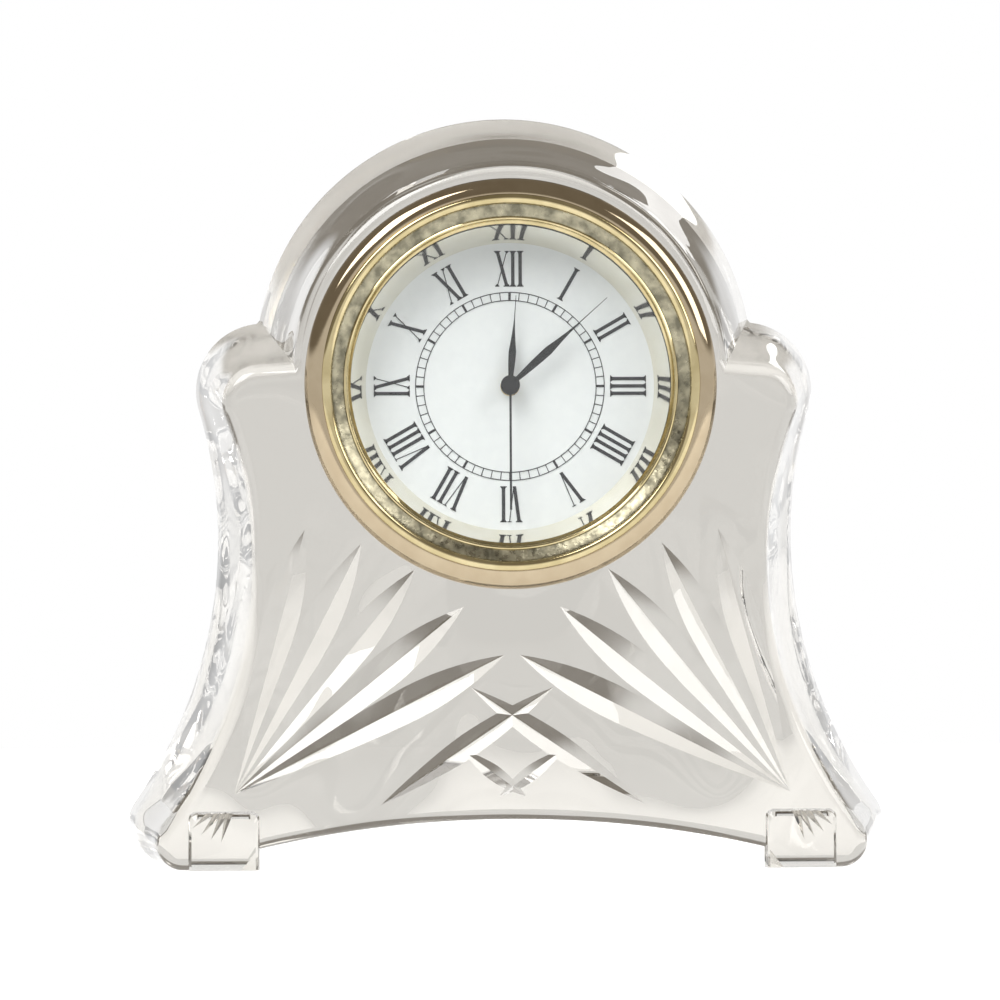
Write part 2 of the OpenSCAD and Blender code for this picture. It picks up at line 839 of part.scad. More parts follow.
module cover_screws() {
    color([0.6, 0.62, 0.65])
    for (a = cover_screw_dirs) {
        c = cover_screw_ring * [cos(a), sin(a)];
        layer_between(u_floor, u_back, c)
            circle(screw_r);
        difference() {
            layer_between(u_back, u_back + 0.35, c)
                circle(head_r);
            layer_between(u_back + 0.2, u_back + 1, c)
                square([2, 0.25], center = true);
        }
    }
}

// Outline of a hand along +Y: slim at the collar, full at its belly, drawn out to a needle
function hand_outline(length, width, belly, needle) =
    let (
        n = 8,
        root_w = 0.3,
        tip_w = 0.1,
        side = concat(
            [for (i = [0:n]) let (t = i / n)
                [root_w / 2 + (width - root_w) / 2 * sin(90 * t), belly * t]],
            [for (i = [1:n]) let (t = i / n)
                [tip_w / 2 + (width - tip_w) / 2 * (1 - t) * (1 - t / 2), belly + (needle - belly) * t]],
            [[tip_w / 4, length]]
        )
    )
    concat(side, [for (i = [len(side) - 1:-1:0]) [-side[i][0], side[i][1]]]);

hour_angle = -shown_minutes / 2;
minute_angle = -6 * shown_minutes;
second_angle = -6 * shown_seconds;

module hour_hand() {
    color([0.06, 0.06, 0.06])
    layer_between(u_hour_hand, u_hour_hand + hand_t)
        difference() {
            union() {
                circle(collar_r);
                rotate(hour_angle)
                    polygon(hand_outline(hour_len, hour_w, hour_len * 0.38, hour_len * 0.74));
            }
            circle(hour_tube_in);
        }
}

module minute_hand() {
    color([0.06, 0.06, 0.06])
    layer_between(u_minute_hand, u_minute_hand + hand_t)
        difference() {
            union() {
                circle(collar_r);
                rotate(minute_angle)
                    polygon(hand_outline(minute_len, minute_w, minute_len * 0.4, minute_len * 0.71));
            }
            circle(cannon_in);
        }
}

module second_hand() {
    color([0.06, 0.06, 0.06]) {
        layer_between(u_second_hand, u_second_hand + hand_t)
            union() {
                circle(collar_r);
                rotate(second_angle)
                    translate([-second_w / 2, 0])
                    square([second_w, second_len]);
            }
        layer_between(u_second_hand - 0.2, u_second_hand)
            circle(collar_r * 0.8);
    }
}

// A toothed wheel's outline with a tooth centred on a direction
function gear_points(z, m, dir) =
    let (
        r = z * m / 2,
        root = r - 1.2 * m,
        tip = r + 0.85 * m,
        p = 360 / z
    )
    [for (i = [0:z - 1]) for (e = [[root, -0.3], [tip, -0.12], [tip, 0.12], [root, 0.3]])
        e[0] * [cos(dir + p * (i + e[1])), sin(dir + p * (i + e[1]))]];

module toothed(u1, u2, c, z, m, dir) {
    layer_between(u1, u2, c)
        polygon(gear_points(z, m, dir));
}

module hour_wheel() {
    color([0.82, 0.7, 0.35])
    difference() {
        union() {
            toothed(u_hour_wheel, u_hour_wheel + wheel_t, [0, 0], z_hour, hour_m, -90);
            layer_between(u_hour_hand + hand_t, u_hour_wheel)
                circle(hour_tube_r);
        }
        layer_between(u_hour_hand - 1, u_plate)
            circle(hour_tube_in);
    }
}

module cannon_pinion() {
    color([0.8, 0.8, 0.78])
    difference() {
        union() {
            toothed(u_motion - 0.1, u_motion + wheel_t + 0.1, [0, 0], z_cannon, motion_m, -90);
            layer_between(u_minute_hand + hand_t, u_motion - 0.1)
                circle(cannon_r);
        }
        layer_between(u_minute_hand - 1, u_plate + 1)
            circle(cannon_in);
    }
}

module second_wheel() {
    color([0.82, 0.7, 0.35]) {
        toothed(u_second, u_second + wheel_t, [0, 0], z_second, second_m, fifth_dir);
        toothed(u_third - pinion_over, u_third + wheel_t + pinion_over, [0, 0], z_second_pinion, third_m,
            third_dir);
        layer_between(u_third + wheel_t + pinion_over, u_second)
            circle(arbor_r);
        layer_between(u_second + wheel_t, u_bridge - 0.1)
            circle(arbor_r);
        layer_between(u_bridge - 0.1, u_rear)
            circle(second_arbor_r);
        layer_between(u_second_hand + hand_t, u_third - pinion_over)
            circle(second_arbor_r);
    }
}

module centre_wheel() {
    color([0.82, 0.7, 0.35])
    difference() {
        union() {
            toothed(u_centre, u_centre + wheel_t, [0, 0], z_centre, centre_m, third_dir);
            layer_between(u_minute_hand + hand_t + 0.3, u_centre)
                circle(centre_tube_r);
            layer_between(u_train + 0.05, u_centre)
                circle(centre_tube_r + 0.4);
        }
        layer_between(u_minute_hand - 1, u_centre + 1)
            circle(centre_tube_in);
    }
}

// An arbor between plate and bridge with a pivot at each end
module arbor(c) {
    layer_between(u_train + 0.05, u_bridge - 0.05, c)
        circle(arbor_r);
    layer_between(u_train - 0.5, u_train + 0.05, c)
        circle(pivot_r);
    layer_between(u_bridge - 0.05, u_rear, c)
        circle(pivot_r);
}

module third_wheel() {
    color([0.82, 0.7, 0.35]) {
        toothed(u_third, u_third + wheel_t, third_c, z_third, third_m, third_dir + 180 + 180 / z_third);
        toothed(u_centre - pinion_over, u_centre + wheel_t + pinion_over, third_c, z_third_pinion, centre_m,
            third_dir + 180 + 180 / z_third_pinion);
        arbor(third_c);
    }
}

module fifth_wheel() {
    color([0.82, 0.7, 0.35]) {
        toothed(u_fifth, u_fifth + wheel_t, fifth_c, z_fifth, rotor_m, rotor_dir);
        toothed(u_second - pinion_over, u_second + wheel_t + pinion_over, fifth_c, z_fifth_pinion, second_m,
            fifth_dir + 180 + 180 / z_fifth_pinion);
        arbor(fifth_c);
    }
}

module rotor() {
    color([0.35, 0.35, 0.38]) {
        toothed(u_fifth - pinion_over, u_fifth + wheel_t, rotor_c, z_rotor, rotor_m,
            rotor_dir + 180 + 180 / z_rotor);
        layer_between(u_train + 0.4, u_second - 0.2, rotor_c)
            circle(1.15);
        arbor(rotor_c);
    }
}

module minute_wheel() {
    color([0.82, 0.7, 0.35])
    difference() {
        union() {
            toothed(u_motion, u_motion + wheel_t, minute_c, z_minute, motion_m, 90 + 180 / z_minute);
            toothed(u_hour_wheel - 0.05, u_motion, minute_c, z_minute_pinion, hour_m,
                90 + 180 / z_minute_pinion);
        }
        layer_between(u_motion - 0.4, u_plate + 1, minute_c)
            circle(pivot_r + slip);
    }
}

module setting_stem() {
    color([0.75, 0.76, 0.78]) {
        toothed(u_motion - 0.1, u_motion + wheel_t + 0.1, stem_c, z_stem, motion_m, 90);
        layer_between(u_motion + wheel_t + 0.1, u_back + 0.3 + knob_len * 0.7, stem_c)
            circle(arbor_r * 2);
    }
}

// A knob with a fluted rim, bored for the stem
module setting_knob() {
    flutes = 20;
    u_knob = u_back + 0.3;
    color([0.8, 0.66, 0.36])
    difference() {
        layer_between(u_knob, u_knob + knob_len, stem_c)
            polygon([for (i = [0:4 * flutes - 1]) let (a = 90 * i / flutes, e = i % 4 < 2 ? 0 : 0.15)
                (knob_r - e) * [cos(a), sin(a)]]);
        layer_between(u_knob - 1, u_knob + knob_len * 0.7, stem_c)
            circle(arbor_r * 2);
    }
}

// The hatch turns under the cover on two lugs, by a coin in its slot
module battery_hatch() {
    color([0.66, 0.67, 0.7])
    difference() {
        union() {
            layer_between(u_cover - 0.05, u_back, cell_c)
                circle(hatch_r);
            layer_between(u_cover - 0.5, u_cover - 0.05, cell_c)
                intersection() {
                    circle(hatch_r + lug_reach);
                    rotate(cell_dir + 90)
                        square([3 * hatch_r, 2.4], center = true);
                }
        }
        layer_between(u_back - 0.35, u_back + 1, cell_c)
            rotate(cell_dir)
            square([hatch_r * 1.4, coin_slot_w], center = true);
    }
}

crystal_body();
bezel();
lens();
lens_seal();
reflector_ring();
dial();
dial_numerals();
dial_track();
case_cup();
grip_ring();
movement_ring();
main_plate();
train_bridge();
bridge_screws();
circuit_board();
quartz_can();
coil();
coil_core();
stator();
battery_cell();
battery_strap();
back_cover();
cover_screws();
hour_hand();
hour_wheel();
minute_hand();
cannon_pinion();
second_hand();
second_wheel();
centre_wheel();
third_wheel();
fifth_wheel();
rotor();
minute_wheel();
setting_stem();
setting_knob();
battery_hatch();
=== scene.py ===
"""Looks of the crystal desk clock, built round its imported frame.

The scene is in metres, in the frame's own axes: X to the viewer's right, Y into the crystal, Z up.
Sizes of pieces are in millimetres. Those of the studio and of fine marks are in metres.
"""

import json
import logging
import math
from dataclasses import dataclass
from enum import Enum

import bmesh
import bpy
import numpy as np
from mathutils import Matrix, Vector


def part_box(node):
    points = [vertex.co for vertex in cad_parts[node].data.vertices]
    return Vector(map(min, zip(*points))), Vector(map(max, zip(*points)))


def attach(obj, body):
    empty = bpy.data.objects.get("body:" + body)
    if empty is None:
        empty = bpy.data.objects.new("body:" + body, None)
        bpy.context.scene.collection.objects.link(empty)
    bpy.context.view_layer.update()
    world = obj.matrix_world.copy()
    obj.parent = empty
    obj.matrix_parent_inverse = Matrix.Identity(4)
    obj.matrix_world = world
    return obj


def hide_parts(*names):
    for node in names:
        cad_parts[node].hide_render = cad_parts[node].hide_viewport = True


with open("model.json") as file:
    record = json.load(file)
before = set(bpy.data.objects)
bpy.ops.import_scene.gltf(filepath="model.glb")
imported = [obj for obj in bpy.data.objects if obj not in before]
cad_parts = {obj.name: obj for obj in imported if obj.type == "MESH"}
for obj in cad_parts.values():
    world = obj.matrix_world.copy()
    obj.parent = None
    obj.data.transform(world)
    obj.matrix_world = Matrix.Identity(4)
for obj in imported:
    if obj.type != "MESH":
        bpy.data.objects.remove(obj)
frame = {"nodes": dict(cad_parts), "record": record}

log = logging.getLogger("desk_clock")

MM = 0.001
METRE = 1000
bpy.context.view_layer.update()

Colour = tuple[float, float, float]
Place = tuple[float, float, float]
Point2 = tuple[float, float]
Faces = list[tuple[int, ...]]
Inputs = dict[str | int, object]
Piece = bpy.types.Object
Material = bpy.types.Material
Node = bpy.types.Node
Socket = bpy.types.NodeSocket
Tree = bpy.types.NodeTree

WHITE: Colour = (1.0, 1.0, 1.0)


class Body(Enum):
    """The bodies of the frame that scene pieces ride on."""

    CRYSTAL = "crystal"
    INSERT = "insert"


class Surface(Enum):
    """How a finish is worked, which chooses its pattern of fine marks."""

    PLAIN = "plain"
    TURNED = "turned"
    BRUSHED = "brushed"


@dataclass(frozen=True)
class Dial:
    """The dial's axis, its depth behind the crystal's front face and its ink's thickness, in millimetres."""

    face_y: float = -12.9
    centre_z: float = 48.1
    depth: float = 3.4
    ink: float = 0.05


DIAL = Dial()


# Node trees


class Wiring:
    """A node tree that is being built."""

    def __init__(self, tree: Tree) -> None:
        """Takes the tree that gets the nodes."""
        self.tree = tree

    def fill(self, node: Node, inputs: Inputs) -> None:
        """Gives some inputs of a node a link or a value.

        Args:
            node: The node.
            inputs: A socket to link from, or a value, for each input by its name or number.
        """
        for key, value in inputs.items():
            if isinstance(value, Socket):
                self.tree.links.new(value, node.inputs[key])
            else:
                node.inputs[key].default_value = value

    def add(self, kind: str, inputs: Inputs | None = None, **settings: object) -> Node:
        """Adds a node.

        Args:
            kind: Its type.
            inputs: What its inputs get, as for fill.
            **settings: Its properties, which are set first.

        Returns:
            The node.
        """
        made = self.tree.nodes.new(kind)
        for key, value in settings.items():
            setattr(made, key, value)
        self.fill(made, inputs or {})
        return made

    def math(self, operation: str, a: object, b: object, clamp: bool = False) -> Socket:
        """Adds a math node on two sockets or numbers and returns its result."""
        return self.add("ShaderNodeMath", {0: a, 1: b}, operation=operation, use_clamp=clamp).outputs[0]

    def mix(self, share: Socket, first: Colour, second: Colour) -> Socket:
        """Adds a mix of two colours and returns its result."""
        colours = {"Factor": share, "A": (*first, 1.0), "B": (*second, 1.0)}
        return self.add("ShaderNodeMix", colours, data_type="RGBA").outputs["Result"]


class MarksGroup(Wiring):
    """A shader group that works on a piece's own coordinates and puts out one value."""

    def __init__(self, name: str, output: str, inputs: dict[str, float]) -> None:
        """Starts the group.

        Args:
            name: Name of the group.
            output: Name of its output.
            inputs: Names and default values of its inputs.
        """
        super().__init__(bpy.data.node_groups.new(name, "ShaderNodeTree"))
        face = self.tree.interface
        for key, value in inputs.items():
            face.new_socket(key, in_out="INPUT", socket_type="NodeSocketFloat").default_value = value
        face.new_socket(output, in_out="OUTPUT", socket_type="NodeSocketFloat")
        self.given = self.add("NodeGroupInput").outputs
        self.place = self.add("ShaderNodeTexCoord").outputs["Object"]

    def noise(self, inputs: dict[str, Socket], detail: float, **settings: object) -> Socket:
        """Adds noise at the group's Scale.

        Args:
            inputs: Where its place comes from.
            detail: Its detail.
            **settings: Its properties.

        Returns:
            The noise, round a half.
        """
        inputs = {**inputs, "Scale": self.given["Scale"], "Detail": detail}
        return self.add("ShaderNodeTexNoise", inputs, **settings).outputs["Fac"]

    def stretched(self, scale: Place) -> Socket:
        """Returns the place, stretched along the axes."""
        return self.add("ShaderNodeMapping", {"Vector": self.place, "Scale": scale}).outputs["Vector"]

    def finish(self, value: Socket) -> Tree:
        """Puts out a value and returns the group."""
        self.add("NodeGroupOutput", {0: value})
        return self.tree


def mottle_group() -> Tree:
    """Soft cloudy marks, as handling leaves on a polished surface.

    Returns:
        The group, which puts out a value that runs from Low to High.
    """
    group = MarksGroup("cloudy_marks", "Value", {"Scale": 300.0, "Low": 0.0, "High": 1.0})
    spread = group.add("ShaderNodeMapRange", {
        "Value": group.noise({"Vector": group.place}, detail=3.0),
        "From Min": 0.35,
        "From Max": 0.65,
        "To Min": group.given["Low"],
        "To Max": group.given["High"],
    })
    return group.finish(spread.outputs["Result"])


def turning_group() -> Tree:
    """Fine rings round the dial's axis, as a lathe leaves them.

    Returns:
        The group, which puts out a height.
    """
    group = MarksGroup("turning_marks", "Height", {"Scale": 9000.0})
    centre = (0.0, 0.0, DIAL.centre_z * MM)
    level = (1.0, 0.0, 1.0)
    away = group.add("ShaderNodeVectorMath", {0: group.place, 1: centre}, operation="SUBTRACT")
    flat = group.add("ShaderNodeVectorMath", {0: away.outputs["Vector"], 1: level}, operation="MULTIPLY")
    radius = group.add("ShaderNodeVectorMath", {0: flat.outputs["Vector"]}, operation="LENGTH")
    return group.finish(group.noise({"W": radius.outputs["Value"]}, detail=2.0, noise_dimensions="1D"))


def brushing_group() -> Tree:
    """Fine straight lines along X, as a brushed plate has.

    Returns:
        The group, which puts out a height.
    """
    group = MarksGroup("brushing_marks", "Height", {"Scale": 200.0})
    return group.finish(group.noise({"Vector": group.stretched((1.0, 40.0, 40.0))}, detail=2.0))


def wave_group() -> Tree:
    """Slow waves of cast glass, level on the front face, which is ground and polished.

    Returns:
        The group, which puts out a height.
    """
    group = MarksGroup("cast_waves", "Height", {"Scale": 90.0, "Front": DIAL.face_y * MM, "Fade": 0.0025})
    wave = group.noise({"Vector": group.stretched((1.0, 0.6, 0.8))}, detail=0.6)
    part = group.add("ShaderNodeSeparateXYZ", {0: group.place})
    behind = group.math("SUBTRACT", part.outputs["Y"], group.given["Front"])
    share = group.math("DIVIDE", behind, group.given["Fade"], clamp=True)
    return group.finish(group.math("MULTIPLY", group.math("SUBTRACT", wave, 0.5), share))


MOTTLE = mottle_group()
TURNING = turning_group()
BRUSHING = brushing_group()
WAVES = wave_group()


class Coat(Wiring):
    """A material that is being made, with its main shader and its output."""

    def __init__(self, name: str) -> None:
        """Starts the material.

        Args:
            name: Name of the material.
        """
        self.material = bpy.data.materials.new(name)
        self.material.use_nodes = True
        super().__init__(self.material.node_tree)
        self.shader = self.tree.nodes["Principled BSDF"]
        self.out = self.tree.nodes["Material Output"]

    def marks(self, group: Tree, **values: float) -> Socket:
        """Adds a group with values for its inputs and returns what it puts out."""
        return self.add("ShaderNodeGroup", values, node_tree=group).outputs[0]

    def bump(self, height: Socket, strength: float, distance: float) -> None:
        """Gives the main shader a bump."""
        bump = self.add("ShaderNodeBump", {"Strength": strength, "Distance": distance, "Height": height})
        self.fill(self.shader, {"Normal": bump.outputs["Normal"]})


# Finishes


@dataclass(frozen=True)
class SolidFinish:
    """An opaque finish of metal, plastic or lacquer.

    Its colour is clouded with its shade, and its roughness runs from smooth to rough. The scales of the
    clouds and of the fine marks are cloud and marks, and the marks are depth metres deep.
    """

    name: str
    colour: Colour
    shade: Colour
    metallic: float = 0.0
    smooth: float = 0.2
    rough: float = 0.35
    surface: Surface = Surface.PLAIN
    cloud: float = 300.0
    marks: float = 9000.0
    depth: float = 0.000002
    strength: float = 0.3
    gloss: float = 0.5
    finer: float = 2.3

    def build(self) -> Material:
        """Makes the material.

        Returns:
            The material, with its colour and roughness clouded and its marks as bump.
        """
        coat = Coat(self.name)
        tone = coat.marks(MOTTLE, Scale=self.cloud)
        coat.fill(coat.shader, {
            "Metallic": self.metallic,
            "Specular IOR Level": self.gloss,
            "Base Color": coat.mix(tone, self.shade, self.colour),
            "Roughness": coat.marks(MOTTLE, Scale=self.cloud * self.finer, Low=self.smooth, High=self.rough),
        })
        group = {Surface.TURNED: TURNING, Surface.BRUSHED: BRUSHING}.get(self.surface, MOTTLE)
        coat.bump(coat.marks(group, Scale=self.marks), self.strength, self.depth)
        return coat.material


@dataclass(frozen=True)
class GlassFinish:
    """Clear glass that lets the lamps' light through."""

    name: str
    tint: Colour = WHITE
    ior: float = 1.5
    rough: float = 0.0
    cloud: float = 250.0
    wave_scale: float = 60.0
    wave_depth: float = 0.0
    lamp_pass: float = 0.9

    def build(self) -> Material:
        """Makes the material.

        Returns:
            The material: glass for what is seen, clear for the rays of the lamps.
        """
        coat = Coat(self.name)
        coat.fill(coat.shader, {
            "Transmission Weight": 1.0,
            "IOR": self.ior,
            "Base Color": (*self.tint, 1.0),
            "Roughness": coat.marks(MOTTLE, Scale=self.cloud, High=self.rough),
        })
        if self.wave_depth:
            coat.bump(coat.marks(WAVES, Scale=self.wave_scale), 1.0, self.wave_depth)
        clear = coat.add("ShaderNodeBsdfTransparent", {"Color": (*[self.lamp_pass] * 3, 1.0)})
        choose = coat.add("ShaderNodeMixShader", {
            "Fac": coat.add("ShaderNodeLightPath").outputs["Is Shadow Ray"],
            1: coat.shader.outputs["BSDF"],
            2: clear.outputs["BSDF"],
        })
        coat.fill(coat.out, {"Surface": choose.outputs["Shader"]})
        return coat.material


# The crystal's grey-warm tint is painted shade: it darkens near-clear glass to stand for darker surroundings
# seen through it.
CRYSTAL = GlassFinish("polished_crystal", tint=(0.63, 0.61, 0.57), ior=1.545, rough=0.012, wave_depth=0.0030)
LENS_GLASS = GlassFinish("dial_glass", tint=(0.99, 1.0, 0.995), rough=0.01, lamp_pass=0.96)
GILT = SolidFinish("gold_plate", (0.60, 0.51, 0.30), (0.47, 0.39, 0.21), metallic=1.0, smooth=0.05,
                   rough=0.12, surface=Surface.TURNED, depth=0.0000015)
# Darker copy of the gold plate for the outer flank: painted shade, a mid tone that stands for the darker
# reflections the flank shows.
GILT_FLANK_SHADED = SolidFinish("flank_gold_plate", (0.45, 0.37, 0.255), (0.42, 0.34, 0.23), metallic=1.0,
                         smooth=0.05, rough=0.09, cloud=500.0, marks=900.0, depth=0.000003)
# Rougher gold plate for the band inside the bead. Its roughness and marks are the real dulled finish; its
# dark olive colour is painted shade that stands for dark reflections.
GILT_DULL_SHADED = SolidFinish("dulled_gold_plate", (0.38, 0.35, 0.25), (0.15, 0.14, 0.10), metallic=1.0,
                        smooth=0.22, rough=0.42, cloud=700.0, marks=1500.0, depth=0.00003, strength=0.6)
MIRROR_CREAM = SolidFinish("cream_mirror", (0.90, 0.87, 0.78), (0.86, 0.82, 0.70), metallic=1.0,
                           smooth=0.05, rough=0.10, surface=Surface.TURNED, depth=0.000001)
DIAL_WHITE = SolidFinish("dial_enamel", (0.85, 0.875, 0.865), (0.83, 0.855, 0.85), smooth=0.32,
                         rough=0.42, cloud=900.0, depth=0.0000006)
PRINT = SolidFinish("dial_print", (0.018, 0.018, 0.021), (0.028, 0.028, 0.031), smooth=0.40, rough=0.5,
                    cloud=4000.0, gloss=0.1)
HAND_BLACK = SolidFinish("hand_lacquer", (0.006, 0.006, 0.007), (0.012, 0.012, 0.013), smooth=0.22,
                         rough=0.34, cloud=1500.0, gloss=0.12)
RUBBER = SolidFinish("seal_rubber", (0.03, 0.03, 0.03), (0.045, 0.045, 0.045), smooth=0.6, rough=0.75)
NYLON = SolidFinish("nylon", (0.80, 0.50, 0.26), (0.70, 0.42, 0.21), smooth=0.35, rough=0.5)
RING_PLASTIC = SolidFinish("ring_plastic", (0.80, 0.78, 0.72), (0.76, 0.74, 0.68), smooth=0.4, rough=0.5)
PLATE_BRASS = SolidFinish("plate_brass", (0.78, 0.64, 0.34), (0.68, 0.54, 0.27), metallic=1.0, smooth=0.25,
                          rough=0.4, surface=Surface.BRUSHED, marks=200.0)
WHEEL_BRASS = SolidFinish("wheel_brass", (0.80, 0.65, 0.32), (0.72, 0.57, 0.27), metallic=1.0, smooth=0.18,
                          rough=0.3, surface=Surface.TURNED)
STEEL = SolidFinish("steel", (0.62, 0.63, 0.65), (0.54, 0.55, 0.57), metallic=1.0, surface=Surface.BRUSHED,
                    marks=300.0)
BOARD = SolidFinish("solder_mask", (0.03, 0.17, 0.08), (0.02, 0.12, 0.06), smooth=0.25)
CAN_METAL = SolidFinish("can_metal", (0.75, 0.76, 0.78), (0.66, 0.67, 0.69), metallic=1.0, rough=0.3)
COPPER = SolidFinish("enamelled_copper", (0.62, 0.24, 0.10), (0.5, 0.18, 0.07), metallic=0.9, rough=0.32)
MAGNET = SolidFinish("magnet", (0.16, 0.16, 0.17), (0.1, 0.1, 0.11), metallic=0.7, smooth=0.4, rough=0.55)
CELL_STEEL = SolidFinish("cell_steel", (0.72, 0.73, 0.74), (0.66, 0.67, 0.68), metallic=1.0, smooth=0.12,
                         rough=0.2, surface=Surface.TURNED)
COVER_STEEL = SolidFinish("spun_cover", (0.62, 0.63, 0.65), (0.56, 0.57, 0.59), metallic=1.0, smooth=0.22,
                          rough=0.36, surface=Surface.TURNED, marks=5000.0, depth=0.000004)

SLOT_FINISHES = {
    "lens_glass": LENS_GLASS, "seal_rubber": RUBBER, "dial_white": DIAL_WHITE, "hand_black": HAND_BLACK,
    "nylon": NYLON, "ring_plastic": RING_PLASTIC, "plate_brass": PLATE_BRASS, "wheel_brass": WHEEL_BRASS,
    "steel": STEEL, "board_green": BOARD, "can_metal": CAN_METAL, "magnet": MAGNET, "cell_steel": CELL_STEEL,
    "cover_steel": COVER_STEEL, "gilt": GILT, "crystal": CRYSTAL, "cream_ring": MIRROR_CREAM,
    "print_black": PRINT, "coil_copper": COPPER,
}


class Palette:
    """Makes each material once and hands it out by its finish."""

    def __init__(self) -> None:
        """Starts with no material made."""
        self.made: dict[str, Material] = {}

    def get(self, finish: SolidFinish | GlassFinish) -> Material:
        """Hands out a material.

        Args:
            finish: The finish.

        Returns:
            The finish's material, made on its first use.
        """
        if finish.name not in self.made:
            self.made[finish.name] = finish.build()
        return self.made[finish.name]


# Mesh helpers


def arc_points(cx: float, cy: float, r: float, start: float, end: float, steps: int) -> list[Point2]:
    """Points along an arc, in degrees, with both ends."""
    angles = [math.radians(start + (end - start) * k / steps) for k in range(steps + 1)]
    return [(cx + r * math.cos(a), cy + r * math.sin(a)) for a in angles]


def strip(start: tuple[float, float, float], end: tuple[float, float, float]) -> list[Point2]:
    """Outline between two level edges, each given by its middle, its height and half its width."""
    (x0, z0, half0), (x1, z1, half1) = start, end
    return [(x0 - half0, z0), (x0 + half0, z0), (x1 + half1, z1), (x1 - half1, z1)]


def turns_left(outline: list[Point2]) -> bool:
    """Whether an outline runs anticlockwise."""
    return sum(a[0] * b[1] - b[0] * a[1] for a, b in zip(outline, outline[1:] + outline[:1])) > 0


def stack_faces(rows: int, count: int, first: int = 0) -> Faces:
    """Faces of a stack of outlines: its two ends and its walls.

    Args:
        rows: Number of outlines.
        count: Corners of each outline.
        first: Index of the first corner.

    Returns:
        The faces, as indices.
    """
    last = first + (rows - 1) * count
    faces = [tuple(range(first, first + count)), tuple(reversed(range(last, last + count)))]
    for row in range(first, last, count):
        for i in range(count):
            a, b = row + i, row + (i + 1) % count
            faces.append((a, a + count, b + count, b))
    return faces


def volume_of(points: np.ndarray, faces: Faces) -> float:
    """Signed volume of a closed mesh.

    Args:
        points: Its corners.
        faces: Its faces, as indices.

    Returns:
        The volume, negative where the faces point inwards.
    """
    total = 0.0
    for face in faces:
        for k in range(1, len(face) - 1):
            a, b, c = points[face[0]], points[face[k]], points[face[k + 1]]
            total += float(np.dot(a, np.cross(b, c)))
    return total / 6.0


def link_object(name: str, data: bpy.types.ID) -> Piece:
    """Makes an object and links it to the scene.

    Args:
        name: Name of the object.
        data: Its mesh, lamp or camera.

    Returns:
        The object.
    """
    made = bpy.data.objects.new(name, data)
    bpy.context.scene.collection.objects.link(made)
    return made


def new_object(name: str, points: list[Place] | np.ndarray, faces: Faces, material: Material) -> Piece:
    """Makes an object from points in millimetres, with its faces turned outwards.

    Args:
        name: Name of the object.
        points: Corners in millimetres, in the frame.
        faces: Faces, as indices.
        material: The object's material.

    Returns:
        The object, linked to the scene.
    """
    points = np.asarray(points, dtype=float)
    if volume_of(points, faces) < 0:
        faces = [tuple(reversed(face)) for face in faces]
    mesh = bpy.data.meshes.new(name)
    mesh.from_pydata((points * MM).tolist(), [], faces)
    mesh.materials.append(material)
    mesh.validate()
    return link_object(name, mesh)


def smooth_by_angle(piece: Piece, limit: float, flat_area: float = 0.0) -> None:
    """Shades a piece smooth, apart from edges sharper than a limit and large flat faces.

    Args:
        piece: The piece.
        limit: Edges that turn more than this many degrees stay sharp.
        flat_area: Faces across Y that are larger than this many square metres stay flat, if not 0.
    """
    nearly_one = 0.99999
    work = bmesh.new()
    work.from_mesh(piece.data)
    for face in work.faces:
        level = abs(face.normal.y) > nearly_one
        face.smooth = not (flat_area and level and face.calc_area() > flat_area)
    for edge in work.edges:
        edge.smooth = len(edge.link_faces) == 2 and edge.calc_face_angle(0.0) < math.radians(limit)
    work.to_mesh(piece.data)
    work.free()


def lathe(name: str, profile: list[Point2], segments: int, material: Material) -> Piece:
    """Spins a closed profile round the dial's axis.

    Args:
        name: Name of the object.
        profile: Radius and depth of each point, in millimetres, all off the axis.
        segments: Steps round the axis.
        material: The object's material.

    Returns:
        The object.
    """
    count = len(profile)
    points = []
    faces = []
    for i, angle in enumerate(2 * math.pi * np.arange(segments) / segments):
        across, up = math.cos(angle), math.sin(angle)
        points += [(r * across, DIAL.face_y + u, DIAL.centre_z + r * up) for r, u in profile]
        row, after = i * count, (i + 1) % segments * count
        for k in range(count):
            beside = (k + 1) % count
            faces.append((row + k, row + beside, after + beside, after + k))
    return new_object(name, points, faces, material)


def evaluated_copy(piece: Piece, name: str) -> Piece:
    """Turns a piece and its modifiers into a plain mesh in a new object.

    Args:
        piece: The piece, which is deleted.
        name: Name of the new object.

    Returns:
        The new object.
    """
    graph = bpy.context.evaluated_depsgraph_get()
    mesh = bpy.data.meshes.new_from_object(piece.evaluated_get(graph))
    mesh.name = name
    bpy.data.objects.remove(piece, do_unlink=True)
    return link_object(name, mesh)


def combine(base: Piece, tools: list[Piece], operation: str, name: str) -> Piece:
    """Cuts tools from a base, or adds them to it.

    Args:
        base: The piece that is worked on.
        tools: The tools, which are deleted.
        operation: DIFFERENCE or UNION.
        name: Name of the result.

    Returns:
        The result as a new object.
    """
    for tool in tools:
        step = base.modifiers.new(tool.name, "BOOLEAN")
        step.operation = operation
        step.solver = "EXACT"
        step.use_self = True
        step.object = tool
    made = evaluated_copy(base, name)
    for tool in tools:
        bpy.data.objects.remove(tool, do_unlink=True)
    return made


def join(parts: list[Piece], name: str) -> Piece:
    """Joins pieces into one.

    Args:
        parts: The pieces, which are deleted.
        name: Name of the result.

    Returns:
        The joined piece.
    """
    work = bmesh.new()
    materials: list[Material] = []
    for part in parts:
        first = len(work.faces)
        work.from_mesh(part.data)
        work.faces.ensure_lookup_table()
        own = part.data.materials[0]
        if own not in materials:
            materials.append(own)
        for face in work.faces[first:]:
            face.material_index = materials.index(own)
    mesh = bpy.data.meshes.new(name)
    for material in materials:
        mesh.materials.append(material)
    work.to_mesh(mesh)
    work.free()
    for part in parts:
        bpy.data.objects.remove(part, do_unlink=True)
    return link_object(name, mesh)


